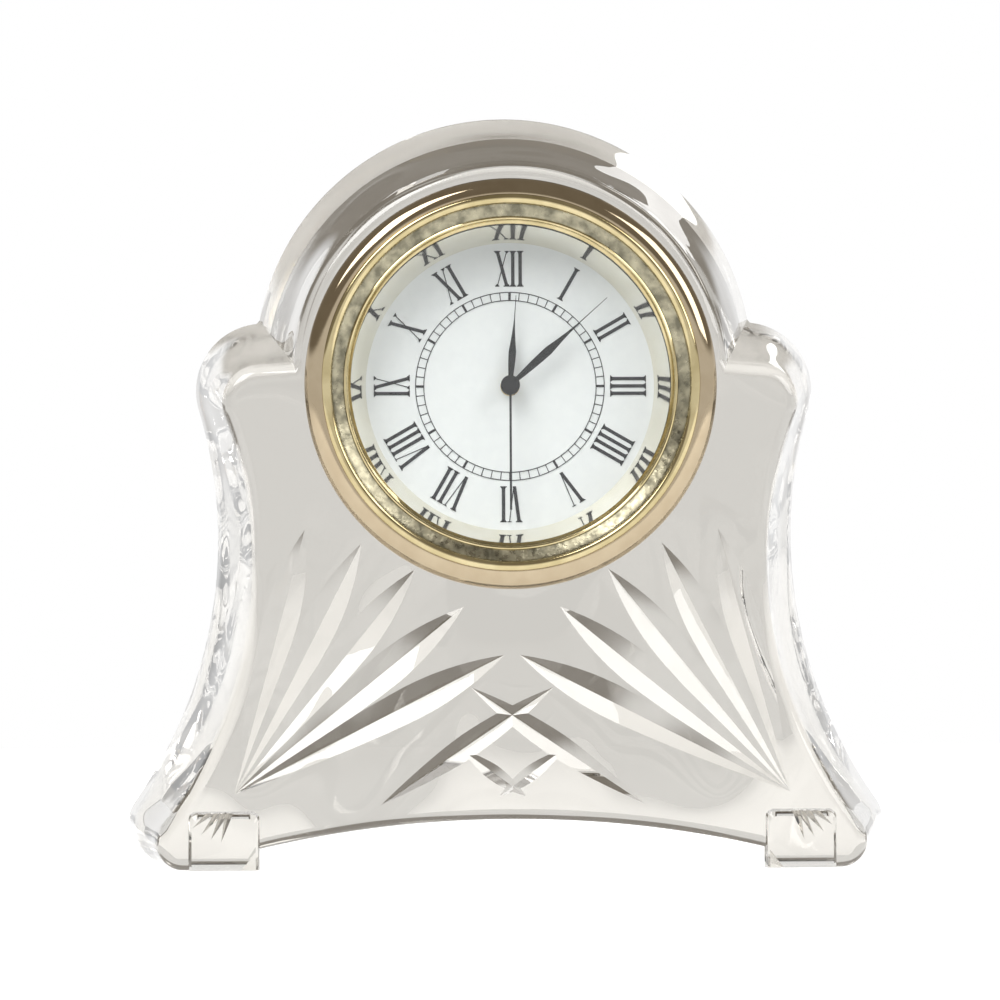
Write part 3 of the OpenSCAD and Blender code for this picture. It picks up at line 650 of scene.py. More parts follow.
def report(piece: Piece, body: Body, slot: str, *nodes: str) -> Piece:
    """Hands a finished piece to the frame and reports it.

    Args:
        piece: The piece.
        body: The body that it rides on.
        slot: Its material slot; not used.
        *nodes: The frame's nodes that it stands for.

    Returns:
        The piece.
    """
    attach(piece, body.value)
    if nodes:
        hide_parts(*nodes)
    log.info("%s: %d faces", piece.name, len(piece.data.polygons))
    return piece


# Geometry node trees


class NodeTree(Wiring):
    """A geometry node tree with named inputs, ending in realized instances of one material."""

    KINDS = {int: "NodeSocketInt", float: "NodeSocketFloat"}

    def __init__(self, name: str, inputs: dict[str, int | float]) -> None:
        """Starts the tree.

        Args:
            name: Name of the tree.
            inputs: Names and default values of its inputs.
        """
        super().__init__(bpy.data.node_groups.new(name, "GeometryNodeTree"))
        face = self.tree.interface
        face.new_socket("Geometry", in_out="INPUT", socket_type="NodeSocketGeometry")
        self.sockets: dict[str, str] = {}
        for key, value in inputs.items():
            socket = face.new_socket(key, in_out="INPUT", socket_type=self.KINDS[type(value)])
            socket.default_value = value
            self.sockets[key] = socket.identifier
        socket = face.new_socket("Material", in_out="INPUT", socket_type="NodeSocketMaterial")
        self.sockets["Material"] = socket.identifier
        face.new_socket("Geometry", in_out="OUTPUT", socket_type="NodeSocketGeometry")
        self.given = self.add("NodeGroupInput").outputs

    def index(self) -> Socket:
        """Adds the number of each copy, from 0."""
        return self.add("GeometryNodeInputIndex").outputs[0]

    def points(self, count: str) -> Socket:
        """Adds as many points as an input says, all at the origin."""
        line = self.add("GeometryNodeMeshLine", {"Count": self.given[count], "Offset": (0.0, 0.0, 0.0)})
        return line.outputs["Mesh"]

    def stepped(self, first: str, step: str) -> Socket:
        """Adds a value that starts at one input and grows by another for each copy."""
        return self.math("ADD", self.math("MULTIPLY", self.index(), self.given[step]), self.given[first])

    def copies(self, points: Socket, angle: Socket, stretch: Socket) -> Socket:
        """Sets a copy of the piece at each point.

        Args:
            points: The points.
            angle: Each copy's turn about Y.
            stretch: Each copy's stretch along X.

        Returns:
            The copies.
        """
        made = self.add("GeometryNodeInstanceOnPoints", {
            "Points": points,
            "Instance": self.given["Geometry"],
            "Rotation": self.add("ShaderNodeCombineXYZ", {"Y": angle}).outputs[0],
            "Scale": self.add("ShaderNodeCombineXYZ", {"X": stretch, "Y": 1.0, "Z": 1.0}).outputs[0],
        })
        return made.outputs["Instances"]

    def finish(self, geometry: Socket) -> "NodeTree":
        """Ends the tree with realized instances and the material.

        Args:
            geometry: What the tree has made.

        Returns:
            The tree.
        """
        real = self.add("GeometryNodeRealizeInstances", {0: geometry})
        dress = self.add("GeometryNodeSetMaterial", {
            "Geometry": real.outputs[0],
            "Material": self.given["Material"],
        })
        self.add("NodeGroupOutput", {0: dress.outputs["Geometry"]})
        return self

    def apply(self, piece: Piece, name: str, material: Material, **values: int | float) -> Piece:
        """Runs the tree on a piece and makes the result plain.

        Args:
            piece: The piece whose mesh goes in, which is deleted.
            name: Name of the result.
            material: Its material.
            **values: Values for the inputs, with _ for a space in their names.

        Returns:
            The result.
        """
        step = piece.modifiers.new(name, "NODES")
        step.node_group = self.tree
        step[self.sockets["Material"]] = material
        for key, value in values.items():
            step[self.sockets[key.replace("_", " ")]] = value
        return evaluated_copy(piece, name)


def fan_tree() -> NodeTree:
    """A fan of cuts that spread from one point, each turned and shortened by a step.

    Returns:
        The tree.
    """
    tree = NodeTree("leaf_fan", {
        "Leaves": 5,
        "First Angle": 0.5,
        "Angle Step": 0.2,
        "First Length": 30.0,
        "Length Step": -0.75,
    })
    angle = tree.math("MULTIPLY", tree.stepped("First Angle", "Angle Step"), -1.0)
    length = tree.stepped("First Length", "Length Step")
    return tree.finish(tree.copies(tree.points("Leaves"), angle, length))


def track_tree() -> NodeTree:
    """Marks set round the dial's axis, with a wider one at each fifth place.

    Returns:
        The tree.
    """
    tree = NodeTree("minute_marks", {"Marks": 60, "Radius": 0.009, "Wide": 3.0})
    index = tree.index()
    share = tree.math("DIVIDE", index, tree.given["Marks"])
    angle = tree.math("MULTIPLY", share, 2 * math.pi)
    spot = tree.add("ShaderNodeCombineXYZ", {
        "X": tree.math("MULTIPLY", tree.math("SINE", angle, 0.0), tree.given["Radius"]),
        "Z": tree.math("MULTIPLY", tree.math("COSINE", angle, 0.0), tree.given["Radius"]),
    })
    round_dial = tree.add("GeometryNodeSetPosition", {
        "Geometry": tree.points("Marks"),
        "Position": spot.outputs[0],
    })
    fifth = tree.math("LESS_THAN", tree.math("MODULO", index, 5.0), 0.5)
    more = tree.math("SUBTRACT", tree.given["Wide"], 1.0)
    stretch = tree.math("ADD", tree.math("MULTIPLY", fifth, more), 1.0)
    return tree.finish(tree.copies(round_dial.outputs["Geometry"], angle, stretch))


def winding_tree() -> NodeTree:
    """A wire wound closely along X.

    Returns:
        The tree.
    """
    tree = NodeTree("coil_winding", {
        "Turns": 60.0,
        "Coil Radius": 0.001,
        "Length": 0.008,
        "Wire Radius": 0.0001,
    })
    spiral = tree.add("GeometryNodeCurveSpiral", {
        "Resolution": 16,
        "Rotations": tree.given["Turns"],
        "Start Radius": tree.given["Coil Radius"],
        "End Radius": tree.given["Coil Radius"],
        "Height": tree.given["Length"],
    })
    section = tree.add("GeometryNodeCurvePrimitiveCircle", {
        "Resolution": 6,
        "Radius": tree.given["Wire Radius"],
    })
    wire = tree.add("GeometryNodeCurveToMesh", {
        "Curve": spiral.outputs["Curve"],
        "Profile Curve": section.outputs["Curve"],
        "Fill Caps": True,
    })
    turn = tree.add("GeometryNodeTransform", {
        "Geometry": wire.outputs["Mesh"],
        "Rotation": (0.0, math.pi / 2, 0.0),
    })
    return tree.finish(turn.outputs["Geometry"])


# The crystal


@dataclass(frozen=True)
class Outline:
    """One outline of the crystal, in millimetres: an arched dome, shoulders, hollow flanks and feet."""

    half_width: float
    top: float
    dome_r: float
    shoulder_r: float
    shoulder_z: float
    flank_r: float
    waist_z: float
    foot_r: float
    foot_in: float = 26.8
    arch_half: float = 25.3
    arch_step: float = 2.0
    arch_h: float = 4.9
    notch_up: float = 0.3
    shoulder_from: float = 84.0
    steps: tuple[int, ...] = (80, 24, 8, 56, 10, 18, 24)

    def half(self) -> list[Point2]:
        """Right half, from the top of the dome to the middle of the arch.

        Returns:
            Its points. Each flank arc touches the shoulder arc above it and the foot arc below it.
        """
        dome_z = self.top - self.dome_r
        foot_x = self.half_width - self.foot_r
        flank_x = foot_x + math.sqrt((self.flank_r + self.foot_r) ** 2 - (self.waist_z - self.foot_r) ** 2)
        reach = self.flank_r + self.shoulder_r
        shoulder_x = flank_x - math.sqrt(reach ** 2 - (self.shoulder_z - self.waist_z) ** 2)
        a_shoulder = math.degrees(math.atan2(self.waist_z - self.shoulder_z, flank_x - shoulder_x))
        a_foot = math.degrees(math.atan2(self.waist_z - self.foot_r, flank_x - foot_x))
        notch_z = self.shoulder_z + self.shoulder_r + self.notch_up
        rise = self.arch_h - self.arch_step
        arch_r = (self.arch_half ** 2 + rise ** 2) / (2 * rise)
        arch_a = math.degrees(math.asin(self.arch_half / arch_r))
        notch_a = math.degrees(math.asin((notch_z - dome_z) / self.dome_r))
        shoulder = (shoulder_x, self.shoulder_z, self.shoulder_r)
        foot = (foot_x, self.foot_r, self.foot_r)
        dome, over, under, flank, foot_top, foot_side, arch = self.steps
        points = arc_points(0, dome_z, self.dome_r, 90, notch_a, dome)
        points += arc_points(*shoulder, self.shoulder_from, 0, over)
        points += arc_points(*shoulder, 0, a_shoulder, under)[1:]
        points += arc_points(flank_x, self.waist_z, self.flank_r, 180 + a_shoulder, 180 + a_foot, flank)[1:]
        points += arc_points(*foot, a_foot, 0, foot_top)[1:]
        points += arc_points(*foot, 0, -90, foot_side)[1:]
        points.append((self.foot_in, 0.0))
        points += arc_points(0, self.arch_h - arch_r, arch_r, 90 - arch_a, 90, arch)
        return points

    def whole(self) -> np.ndarray:
        """The whole outline as an array of x and z."""
        half = self.half()
        return np.array(half + [(-x, z) for x, z in half[-2:0:-1]])


@dataclass(frozen=True)
class Cut:
    """One cut on the front face: where it starts, its direction in degrees, its length and its depth."""

    x: float
    z: float
    angle: float
    length: float
    depth: float
    belly: float = 0.5


@dataclass
class CrystalBody:
    """The cut crystal: a body that widens to the back, bored for the insert, with fans of mitre cuts."""

    palette: Palette
    front: Outline = Outline(half_width=35.0, top=70.0, dome_r=21.5, shoulder_r=3.4, shoulder_z=46.2,
                             flank_r=41.0, waist_z=30.0, foot_r=2.6)
    back: Outline = Outline(half_width=40.0, top=79.0, dome_r=26.5, shoulder_r=7.2, shoulder_z=49.9,
                            flank_r=48.0, waist_z=34.0, foot_r=4.0)
    depth: float = 28.0
    front_round: float = 1.0
    back_round: float = 0.6
    ring_steps: tuple[int, int, int] = (8, 8, 6)
    bore_r: float = 18.25
    bore_steps: int = 192
    fan_x: float = 27.5
    fan_z: float = 7.5
    leaves: int = 5
    first_angle: float = 27.0
    angle_step: float = 12.0
    first_length: float = 30.0
    length_step: float = -0.75
    leaf_depth: float = 1.0
    leaf_belly: float = 0.66
    leaf_steps: tuple[int, int] = (12, 10)
    leaf_powers: tuple[float, int] = (1.5, 2)
    crossings: tuple[Cut, ...] = (
        Cut(x=13.0, z=6.4, angle=146.0, length=20.6, depth=0.7),
        Cut(x=5.2, z=11.9, angle=216.0, length=8.0, depth=0.45),
    )
    mitre_half: float = 60.0
    wheel_up: float = 0.4
    pad_x: float = 25.0
    pad_w: float = 7.0
    pad_h: float = 5.8
    pad_proud: float = 0.8
    pad_corner: float = 0.8
    pad_sunk: float = 1.5
    pad_bevel: tuple[Point2, ...] = ((0.12, 0.7), (0.35, 1.0))
    corner_steps: int = 8
    sharp: float = 22.0
    flat_area: float = 0.000001

    @property
    def material(self) -> Material:
        """The crystal's material."""
        return self.palette.get(CRYSTAL)

    def rings(self) -> list[tuple[float, float]]:
        """Rings of the body, front to back.

        Returns:
            Depth and inset of each ring.
        """
        front, side, back = self.ring_steps
        edge = self.depth - self.back_round
        rings = [(self.front_round * (1 - math.cos(a)), self.front_round * (1 - math.sin(a)))
                 for a in np.linspace(0, math.pi / 2, front)]
        rings += [(u, 0.0) for u in np.linspace(self.front_round, edge, side)[1:-1]]
        rings += [(edge + self.back_round * math.sin(a), self.back_round * (1 - math.cos(a)))
                  for a in np.linspace(0, math.pi / 2, back)]
        return rings

    def loft(self) -> Piece:
        """Makes the body without its cuts.

        Returns:
            The body.
        """
        front, back = self.front.whole(), self.back.whole()
        points = []
        for u, inset in self.rings():
            share = min(u / (self.depth - self.back_round), 1.0)
            line = front * (1 - share) + back * share
            along = np.roll(line, -1, axis=0) - np.roll(line, 1, axis=0)
            along /= np.linalg.norm(along, axis=1)[:, None]
            moved = line + inset * np.column_stack((along[:, 1], -along[:, 0]))
            points += [(x, DIAL.face_y + u, max(z, 0.0)) for x, z in moved]
        return new_object("crystal_loft", points, stack_faces(len(self.rings()), len(front)), self.material)

    def unit_leaf(self, belly: float, depth: float) -> Piece:
        """Makes one V-shaped cut, a metre long on X, that runs out above the glass at both ends.

        Args:
            belly: Share of its length from its start to its deepest place.
            depth: Its greatest depth in millimetres.

        Returns:
            The cut, at the origin.
        """
        up = self.wheel_up
        spread = math.tan(math.radians(self.mitre_half))
        sinking, rising = self.leaf_steps
        in_power, out_power = self.leaf_powers
        steps = np.concatenate((np.linspace(0, belly, sinking), np.linspace(belly, 1, rising)[1:]))
        deep = depth * np.array([1 - (1 - t / belly) ** in_power if t < belly
                                 else 1 - ((t - belly) / (1 - belly)) ** out_power for t in steps])
        run_in = up * (steps[1] - steps[0]) / deep[1]
        run_out = up * (steps[-1] - steps[-2]) / deep[-2]
        points = [(-METRE * run_in, -up, 0.0)]
        for t, d in zip(steps, deep):
            wide = spread * (d + up)
            points += [(METRE * t, d, 0.0), (METRE * t, -up, wide), (METRE * t, -up, -wide)]
        points.append((METRE * (1 + run_out), -up, 0.0))
        end = len(points) - 1
        faces = [(0, 1, 2), (0, 3, 1), (0, 2, 3), (end, end - 2, end - 3), (end, end - 3, end - 1),
                 (end, end - 1, end - 2)]
        for a in range(1, end - 3, 3):
            c = a + 3
            faces += [(a, c, c + 1, a + 1), (a, a + 2, c + 2, c), (a + 1, c + 1, c + 2, a + 2)]
        return new_object("unit_cut", points, faces, self.material)

    def cut_at(self, leaf: Piece, x: float, z: float) -> Piece:
        """Moves a tool's mesh to its start on the front face."""
        leaf.data.transform(Matrix.Translation(Vector((x * MM, DIAL.face_y * MM, z * MM))))
        return leaf

    def mirrored(self, tool: Piece) -> Piece:
        """Copies a tool to the other side of the middle.

        Args:
            tool: The tool.

        Returns:
            The copy.
        """
        mesh = tool.data.copy()
        mesh.transform(Matrix.Scale(-1, 4, Vector((1, 0, 0))))
        mesh.flip_normals()
        return link_object(tool.name + "_left", mesh)

    def crossing(self, cut: Cut) -> Piece:
        """Makes the tool of one crossing cut.

        Args:
            cut: The cut.

        Returns:
            The tool.
        """
        leaf = self.unit_leaf(cut.belly, cut.depth)
        turn = Matrix.Rotation(-math.radians(cut.angle), 4, "Y")
        leaf.data.transform(turn @ Matrix.Diagonal((cut.length * MM, 1, 1, 1)))
        return self.cut_at(leaf, cut.x, cut.z)

    def cuts(self) -> list[Piece]:
        """Makes all the mitre cuts.

        Returns:
            The tools of both halves.
        """
        leaf = self.unit_leaf(self.leaf_belly, self.leaf_depth)
        fan = fan_tree().apply(
            leaf, "leaf_fan", self.material,
            Leaves=self.leaves,
            First_Angle=math.radians(180 - self.first_angle),
            Angle_Step=-math.radians(self.angle_step),
            First_Length=self.first_length * MM,
            Length_Step=self.length_step * MM,
        )
        right = [self.cut_at(fan, self.fan_x, self.fan_z)]
        right += [self.crossing(cut) for cut in self.crossings]
        return right + [self.mirrored(tool) for tool in right]

    def pad(self) -> Piece:
        """Makes the bevelled pad in front of the right foot.

        Returns:
            The pad.
        """
        r = self.pad_corner
        rows = [(0.0, self.pad_sunk), (0.0, 0.0)]
        rows += [(inset, -self.pad_proud * share) for inset, share in self.pad_bevel]
        points = []
        for inset, y in rows:
            left, right = self.pad_x + inset, self.pad_x + self.pad_w - inset
            top = self.pad_h - 2 * inset
            loop = [(left, 0.0), (right, 0.0)]
            loop += arc_points(right - r, top - r, r, 0, 90, self.corner_steps)
            loop += arc_points(left + r, top - r, r, 90, 180, self.corner_steps)
            points += [(x, DIAL.face_y + y, z) for x, z in loop]
        return new_object("foot_pad", points, stack_faces(len(rows), len(loop)), self.material)

    def build(self) -> Piece:
        """Makes the crystal, cut and bored.

        Returns:
            The crystal.
        """
        body = self.loft()
        pad = self.pad()
        body = combine(body, [pad, self.mirrored(pad)], "UNION", "crystal_with_pads")
        core, over = 0.0001, 1.0
        end = self.depth + over
        disc = [(core, -over), (self.bore_r, -over), (self.bore_r, end), (core, end)]
        bore = lathe("bore", disc, self.bore_steps, self.material)
        made = combine(body, [bore] + self.cuts(), "DIFFERENCE", "cut_crystal")
        smooth_by_angle(made, self.sharp, self.flat_area)
        return report(made, Body.CRYSTAL, "crystal", "crystal_body")


# The insert's front


@dataclass
class Bezel:
    """The gilt ring: a rounded outer flank, a bright bead, a dull band and a lip at the glass; the flank and
    the band are darkened with painted shade.
    """

    palette: Palette
    outer_r: float = 20.5
    edge_h: float = 0.15
    rim_h: float = 0.4
    flank_share: float = 0.92
    flank_drop: float = 0.28
    crest_r: float = 18.75
    crest_h: float = 2.2
    bead_w: float = 0.95
    bead_h: float = 0.34
    bead_from: float = 0.15
    band_in: float = 0.04
    band_drop: float = 0.42
    band_power: float = 0.8
    lip_r: float = 16.6
    lip_h: float = 0.45
    lip_bead: tuple[Point2, ...] = ((0.04, 0.10), (0.16, 0.15), (0.28, 0.10), (0.34, 0.0))
    sight_r: float = 15.9
    sight_in: float = 0.04
    sight_h: float = 0.15
    sight_top: float = 0.2
    lens_proud: float = 0.6
    lens_r: float = 16.9
    cup_u: float = 0.35
    skirt_in: float = 17.55
    skirt_out: float = 17.95
    skirt_len: float = 3.2
    steps: tuple[int, int, int] = (20, 16, 14)
    segments: int = 288
    sharp: float = 32.0

    @property
    def band_r(self) -> float:
        """Outer radius of the dull band."""
        return self.crest_r - self.bead_w - self.band_in

    def profile(self) -> list[Point2]:
        """The ring's section, from its outer foot round to the skirt.

        Returns:
            Radius and depth of its points, in millimetres.
        """
        on_flank, on_bead, on_band = self.steps
        bead = self.crest_r - self.bead_w / 2
        bead_r = self.bead_w / 2
        rise = self.crest_h - self.flank_drop - self.rim_h
        reach = self.outer_r - self.crest_r
        line = [(self.outer_r, 0.0), (self.outer_r, -self.edge_h)]
        line += [(self.crest_r + reach * math.cos(a), -self.rim_h - rise * math.sin(a))
                 for a in np.linspace(0, math.pi / 2 * self.flank_share, on_flank)]
        line += [(bead + bead_r * math.cos(a), -self.crest_h + self.bead_h - self.bead_h * math.sin(a))
                 for a in np.linspace(self.bead_from, math.pi, on_bead)]
        lip_u = -self.lens_proud - self.lip_h
        band_r = self.band_r
        band_u = -self.crest_h + self.band_drop
        line += [(band_r + (self.lip_r - band_r) * t, band_u + (lip_u - band_u) * t ** self.band_power)
                 for t in np.linspace(0, 1, on_band)]
        line += [(self.lip_r - inwards, lip_u - up) for inwards, up in self.lip_bead]
        line += [(self.sight_r + self.sight_in, -self.lens_proud - self.sight_top),
                 (self.sight_r, -self.lens_proud - self.sight_h), (self.sight_r, -self.lens_proud),
                 (self.lens_r, -self.lens_proud), (self.lens_r, self.cup_u), (self.skirt_in, self.cup_u),
                 (self.skirt_in, self.skirt_len), (self.skirt_out, self.skirt_len), (self.skirt_out, 0.0)]
        return line

    def build(self) -> Piece:
        """Makes the ring, with the band and the flank in darker finishes of their own, which hold painted
        shade.

        Returns:
            The ring.
        """
        made = lathe("gilt_bezel", self.profile(), self.segments, self.palette.get(GILT))
        made.data.materials.append(self.palette.get(GILT_DULL_SHADED))
        made.data.materials.append(self.palette.get(GILT_FLANK_SHADED))
        # The flank and the band get darker copies of the gold plate: painted shade.
        dull, flank = 1, 2
        for face in made.data.polygons:
            x, y, z = face.center / MM
            r = math.hypot(x, z - DIAL.centre_z)
            if r > self.crest_r:
                face.material_index = flank
            elif self.lip_r < r < self.band_r and y < DIAL.face_y - self.lens_proud:
                face.material_index = dull
        smooth_by_angle(made, self.sharp)
        return report(made, Body.INSERT, "gilt", "bezel")


@dataclass
class ReflectorRing:
    """The cream mirror ring that slopes from the glass down to the dial."""

    palette: Palette
    top_r: float = Bezel.sight_r
    foot_r: float = 14.45
    outer_r: float = 17.0
    top_u: float = 0.65
    steps: int = 6
    segments: int = 256
    sharp: float = 30.0

    def build(self) -> Piece:
        """Makes the ring.

        Returns:
            The ring.
        """
        slope = [(self.top_r + (self.foot_r - self.top_r) * t, self.top_u + (DIAL.depth - self.top_u) * t)
                 for t in np.linspace(0, 1, self.steps)]
        profile = [(self.outer_r, DIAL.depth), (self.outer_r, self.top_u)] + slope
        made = lathe("mirror_ring", profile, self.segments, self.palette.get(MIRROR_CREAM))
        smooth_by_angle(made, self.sharp)
        return report(made, Body.INSERT, "cream_ring", "reflector_ring")


@dataclass
class Numerals:
    """Roman hour numerals in ink, heads outwards, with thick and hairline strokes and fine serifs."""

    palette: Palette
    outer_r: float = 13.65
    height: float = 3.6
    thick: float = 0.34
    hair: float = 0.09
    serif: float = 0.1612
    neck: float = 0.8
    bracket: float = 0.16
    step: float = 0.74
    v_width: float = 1.42
    arm_share: float = 0.34
    v_thick_x: float = -0.02
    v_hair_x: float = 0.05
    hours: tuple[str, ...] = ("XII", "I", "II", "III", "IIII", "V", "VI", "VII", "VIII", "IX", "X", "XI")

    def stroke(self, foot: float, head: float, width: float) -> list[list[Point2]]:
        """One stroke with its serifs.

        Args:
            foot: Middle of its foot.
            head: Middle of its head.
            width: Its width.

        Returns:
            Convex outlines: the stroke, then a serif and its bracket at the foot and at the head.
        """
        half = width / 2
        wide = half + self.serif
        shapes = [strip((foot, -self.height, half), (head, 0.0, half))]
        for x, z, way in ((foot, -self.height, 1), (head, 0.0, -1)):
            top = z + way * self.hair
            shapes.append(strip((x, z, wide), (x, top, wide)))
            shapes.append(strip((x, top, wide * self.neck), (x, z + way * (self.hair + self.bracket), half)))
        return shapes

    def letter(self, sign: str, x: float) -> list[list[Point2]]:
        """One letter.

        Args:
            sign: The letter: I, V or X.
            x: Its middle.

        Returns:
            Convex outlines. A V has no serifs at its foot.
        """
        arm = self.v_width * self.arm_share
        if sign == "I":
            return self.stroke(x, x, self.thick)
        if sign == "V":
            left = self.stroke(x + self.v_thick_x, x - arm, self.thick)
            right = self.stroke(x + self.v_hair_x, x + arm, self.hair)
            return [left[0], left[3], left[4], right[0], right[3]]
        return self.stroke(x + arm, x - arm, self.thick) + self.stroke(x - arm, x + arm, self.hair)

    def prisms(self) -> tuple[list[Place], Faces]:
        """All the strokes, as thin prisms on the dial.

        Returns:
            Their corners, in millimetres, and their faces.
        """
        points: list[Place] = []
        faces: Faces = []
        for hour, letters in enumerate(self.hours):
            widths = [self.step if sign == "I" else self.v_width for sign in letters]
            start = -sum(widths) / 2
            turn = math.radians(-360 / len(self.hours) * hour)
            c, s = math.cos(turn), math.sin(turn)
            for sign, width in zip(letters, widths):
                for shape in self.letter(sign, start + width / 2):
                    made = stack_faces(2, len(shape), len(points))
                    faces += made if turns_left(shape) else [tuple(reversed(face)) for face in made]
                    out = [(x, z + self.outer_r) for x, z in shape]
                    turned = [(x * c - z * s, DIAL.centre_z + x * s + z * c) for x, z in out]
                    for u in (DIAL.depth - DIAL.ink, DIAL.depth):
                        points += [(x, DIAL.face_y + u, z) for x, z in turned]
                start += width
        return points, faces

    def build(self) -> Piece:
        """Makes the numerals.

        Returns:
            The numerals.
        """
        points, faces = self.prisms()
        made = new_object("roman_numerals", points, faces, self.palette.get(PRINT))
        return report(made, Body.INSERT, "print_black", "dial_numerals")


@dataclass
class MinuteTrack:
    """Two fine circles with a mark between them for each minute."""

    palette: Palette
    outer_r: float = 9.5
    width: float = 0.9
    line: float = 0.08
    marks: int = 60
    wide: float = 3.0
    segments: int = 180

    def build(self) -> Piece:
        """Makes the track.

        Returns:
            The track.
        """
        material = self.palette.get(PRINT)
        half_w, half_h = self.line / 2, (self.width - self.line) / 2
        outline = strip((0.0, -half_h, half_w), (0.0, half_h, half_w))
        points = [(x, y, z) for y in (-DIAL.ink, 0.0) for x, z in outline]
        mark = new_object("minute_mark", points, stack_faces(2, len(outline)), material)
        radius = (self.outer_r - self.width / 2) * MM
        made = track_tree().apply(mark, "minute_marks", material, Marks=self.marks, Radius=radius,
                                  Wide=self.wide)
        centre = Vector((0.0, (DIAL.face_y + DIAL.depth) * MM, DIAL.centre_z * MM))
        made.data.transform(Matrix.Translation(centre))
        parts = [made]
        low, high = DIAL.depth, DIAL.depth - DIAL.ink
        for r in (self.outer_r, self.outer_r - self.width + self.line):
            ring = [(r, high), (r, low), (r - self.line, low), (r - self.line, high)]
            parts.append(lathe("track_circle", ring, self.segments, material))
        return report(join(parts, "minute_track"), Body.INSERT, "print_black", "dial_track")


@dataclass
class CoilWinding:
    """The motor's coil: close turns of enamelled wire between the cheeks of a bobbin."""

    palette: Palette
    cheek: float = 0.4
    cheek_over: float = 0.15
    wire: float = 0.12
    bed: float = 0.8
    slot_y: float = 0.3
    slot_z: float = 0.7
    steps: int = 48
    sharp: float = 40.0

    def build(self) -> Piece:
        """Makes the coil inside its node's box.

        Returns:
            The coil.
        """
        copper = self.palette.get(COPPER)
        low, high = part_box("coil")
        low, high = Vector(low) / MM, Vector(high) / MM
        centre = (low + high) / 2
        outer = (high.z - low.z) / 2
        winding_r = outer - self.cheek_over
        length = high.x - low.x - 2 * self.cheek
        seed = new_object("wire_seed", np.zeros((1, 3)), [], copper)
        wire = winding_tree().apply(
            seed, "coil_wire", copper,
            Turns=float(int(length / self.wire)),
            Coil_Radius=(winding_r - self.wire / 2) * MM,
            Length=length * MM,
            Wire_Radius=self.wire / 2 * MM,
        )
        wire.data.transform(Matrix.Translation(Vector((low.x + self.cheek, centre.y, centre.z)) * MM))
        parts = [wire, self.spool(centre, low.x, high.x, winding_r - self.wire * self.bed, copper)]
        for start in (low.x, high.x - self.cheek):
            parts.append(self.spool(centre, start, start + self.cheek, outer, self.palette.get(NYLON)))
        made = join(parts, "wound_coil")
        smooth_by_angle(made, self.sharp)
        return report(made, Body.INSERT, "coil_copper", "coil")

    def spool(self, centre: Vector, x0: float, x1: float, r: float, material: Material) -> Piece:
        """Makes a round piece along X with a slot for the core.

        Args:
            centre: Its middle.
            x0: Where it starts.
            x1: Where it ends.
            r: Its radius.
            material: Its material.

        Returns:
            The piece.
        """
        y, z = self.slot_y, self.slot_z
        outer = arc_points(centre.y, centre.z, r, 0, 360, self.steps)[:-1]
        corners = ((y, 0.0), (y, z), (-y, z), (-y, -z), (y, -z))
        inner = [(centre.y + dy, centre.z + dz) for dy, dz in corners]
        points = [(x, *spot) for loop in (outer, inner) for x in (x0, x1) for spot in loop]
        count, hole = len(outer), len(inner)
        faces = [(i, (i + 1) % count, count + (i + 1) % count, count + i) for i in range(count)]
        for i in range(hole):
            a, b = 2 * count + i, 2 * count + (i + 1) % hole
            faces.append((b, a, hole + a, hole + b))
        made = new_object("round_piece", points, faces, material)
        work = bmesh.new()
        work.from_mesh(made.data)
        ends = [edge for edge in work.edges if edge.is_boundary]
        near = 0.0000001
        for x in (x0, x1):
            rim = [edge for edge in ends if all(abs(v.co.x - x * MM) < near for v in edge.verts)]
            bmesh.ops.triangle_fill(work, edges=rim, use_beauty=True)
        bmesh.ops.recalc_face_normals(work, faces=work.faces)
        work.to_mesh(made.data)
        work.free()
        return made


class FrameNodes:
    """The frame's own solids, which keep their shapes and get procedural finishes."""

    def dress(self, palette: Palette) -> None:
        """Gives each node the finish of its material slot.

        Args:
            palette: Where the materials come from.
        """
        for part in frame["record"]["subparts"]:
            node = frame["nodes"][part["node"]]
            material = palette.get(SLOT_FINISHES[part["material_slot"]])
            if not node.material_slots:
                node.data.materials.append(material)
            for place in node.material_slots:
                place.material = material
            log.info("%s: %s", part["node"], material.name)


# The studio


@dataclass(frozen=True)
class Lamp:
    """A square soft lamp: its place and its side in metres, and its power in watts."""

    name: str
    at: Place
    size: float
    power: float


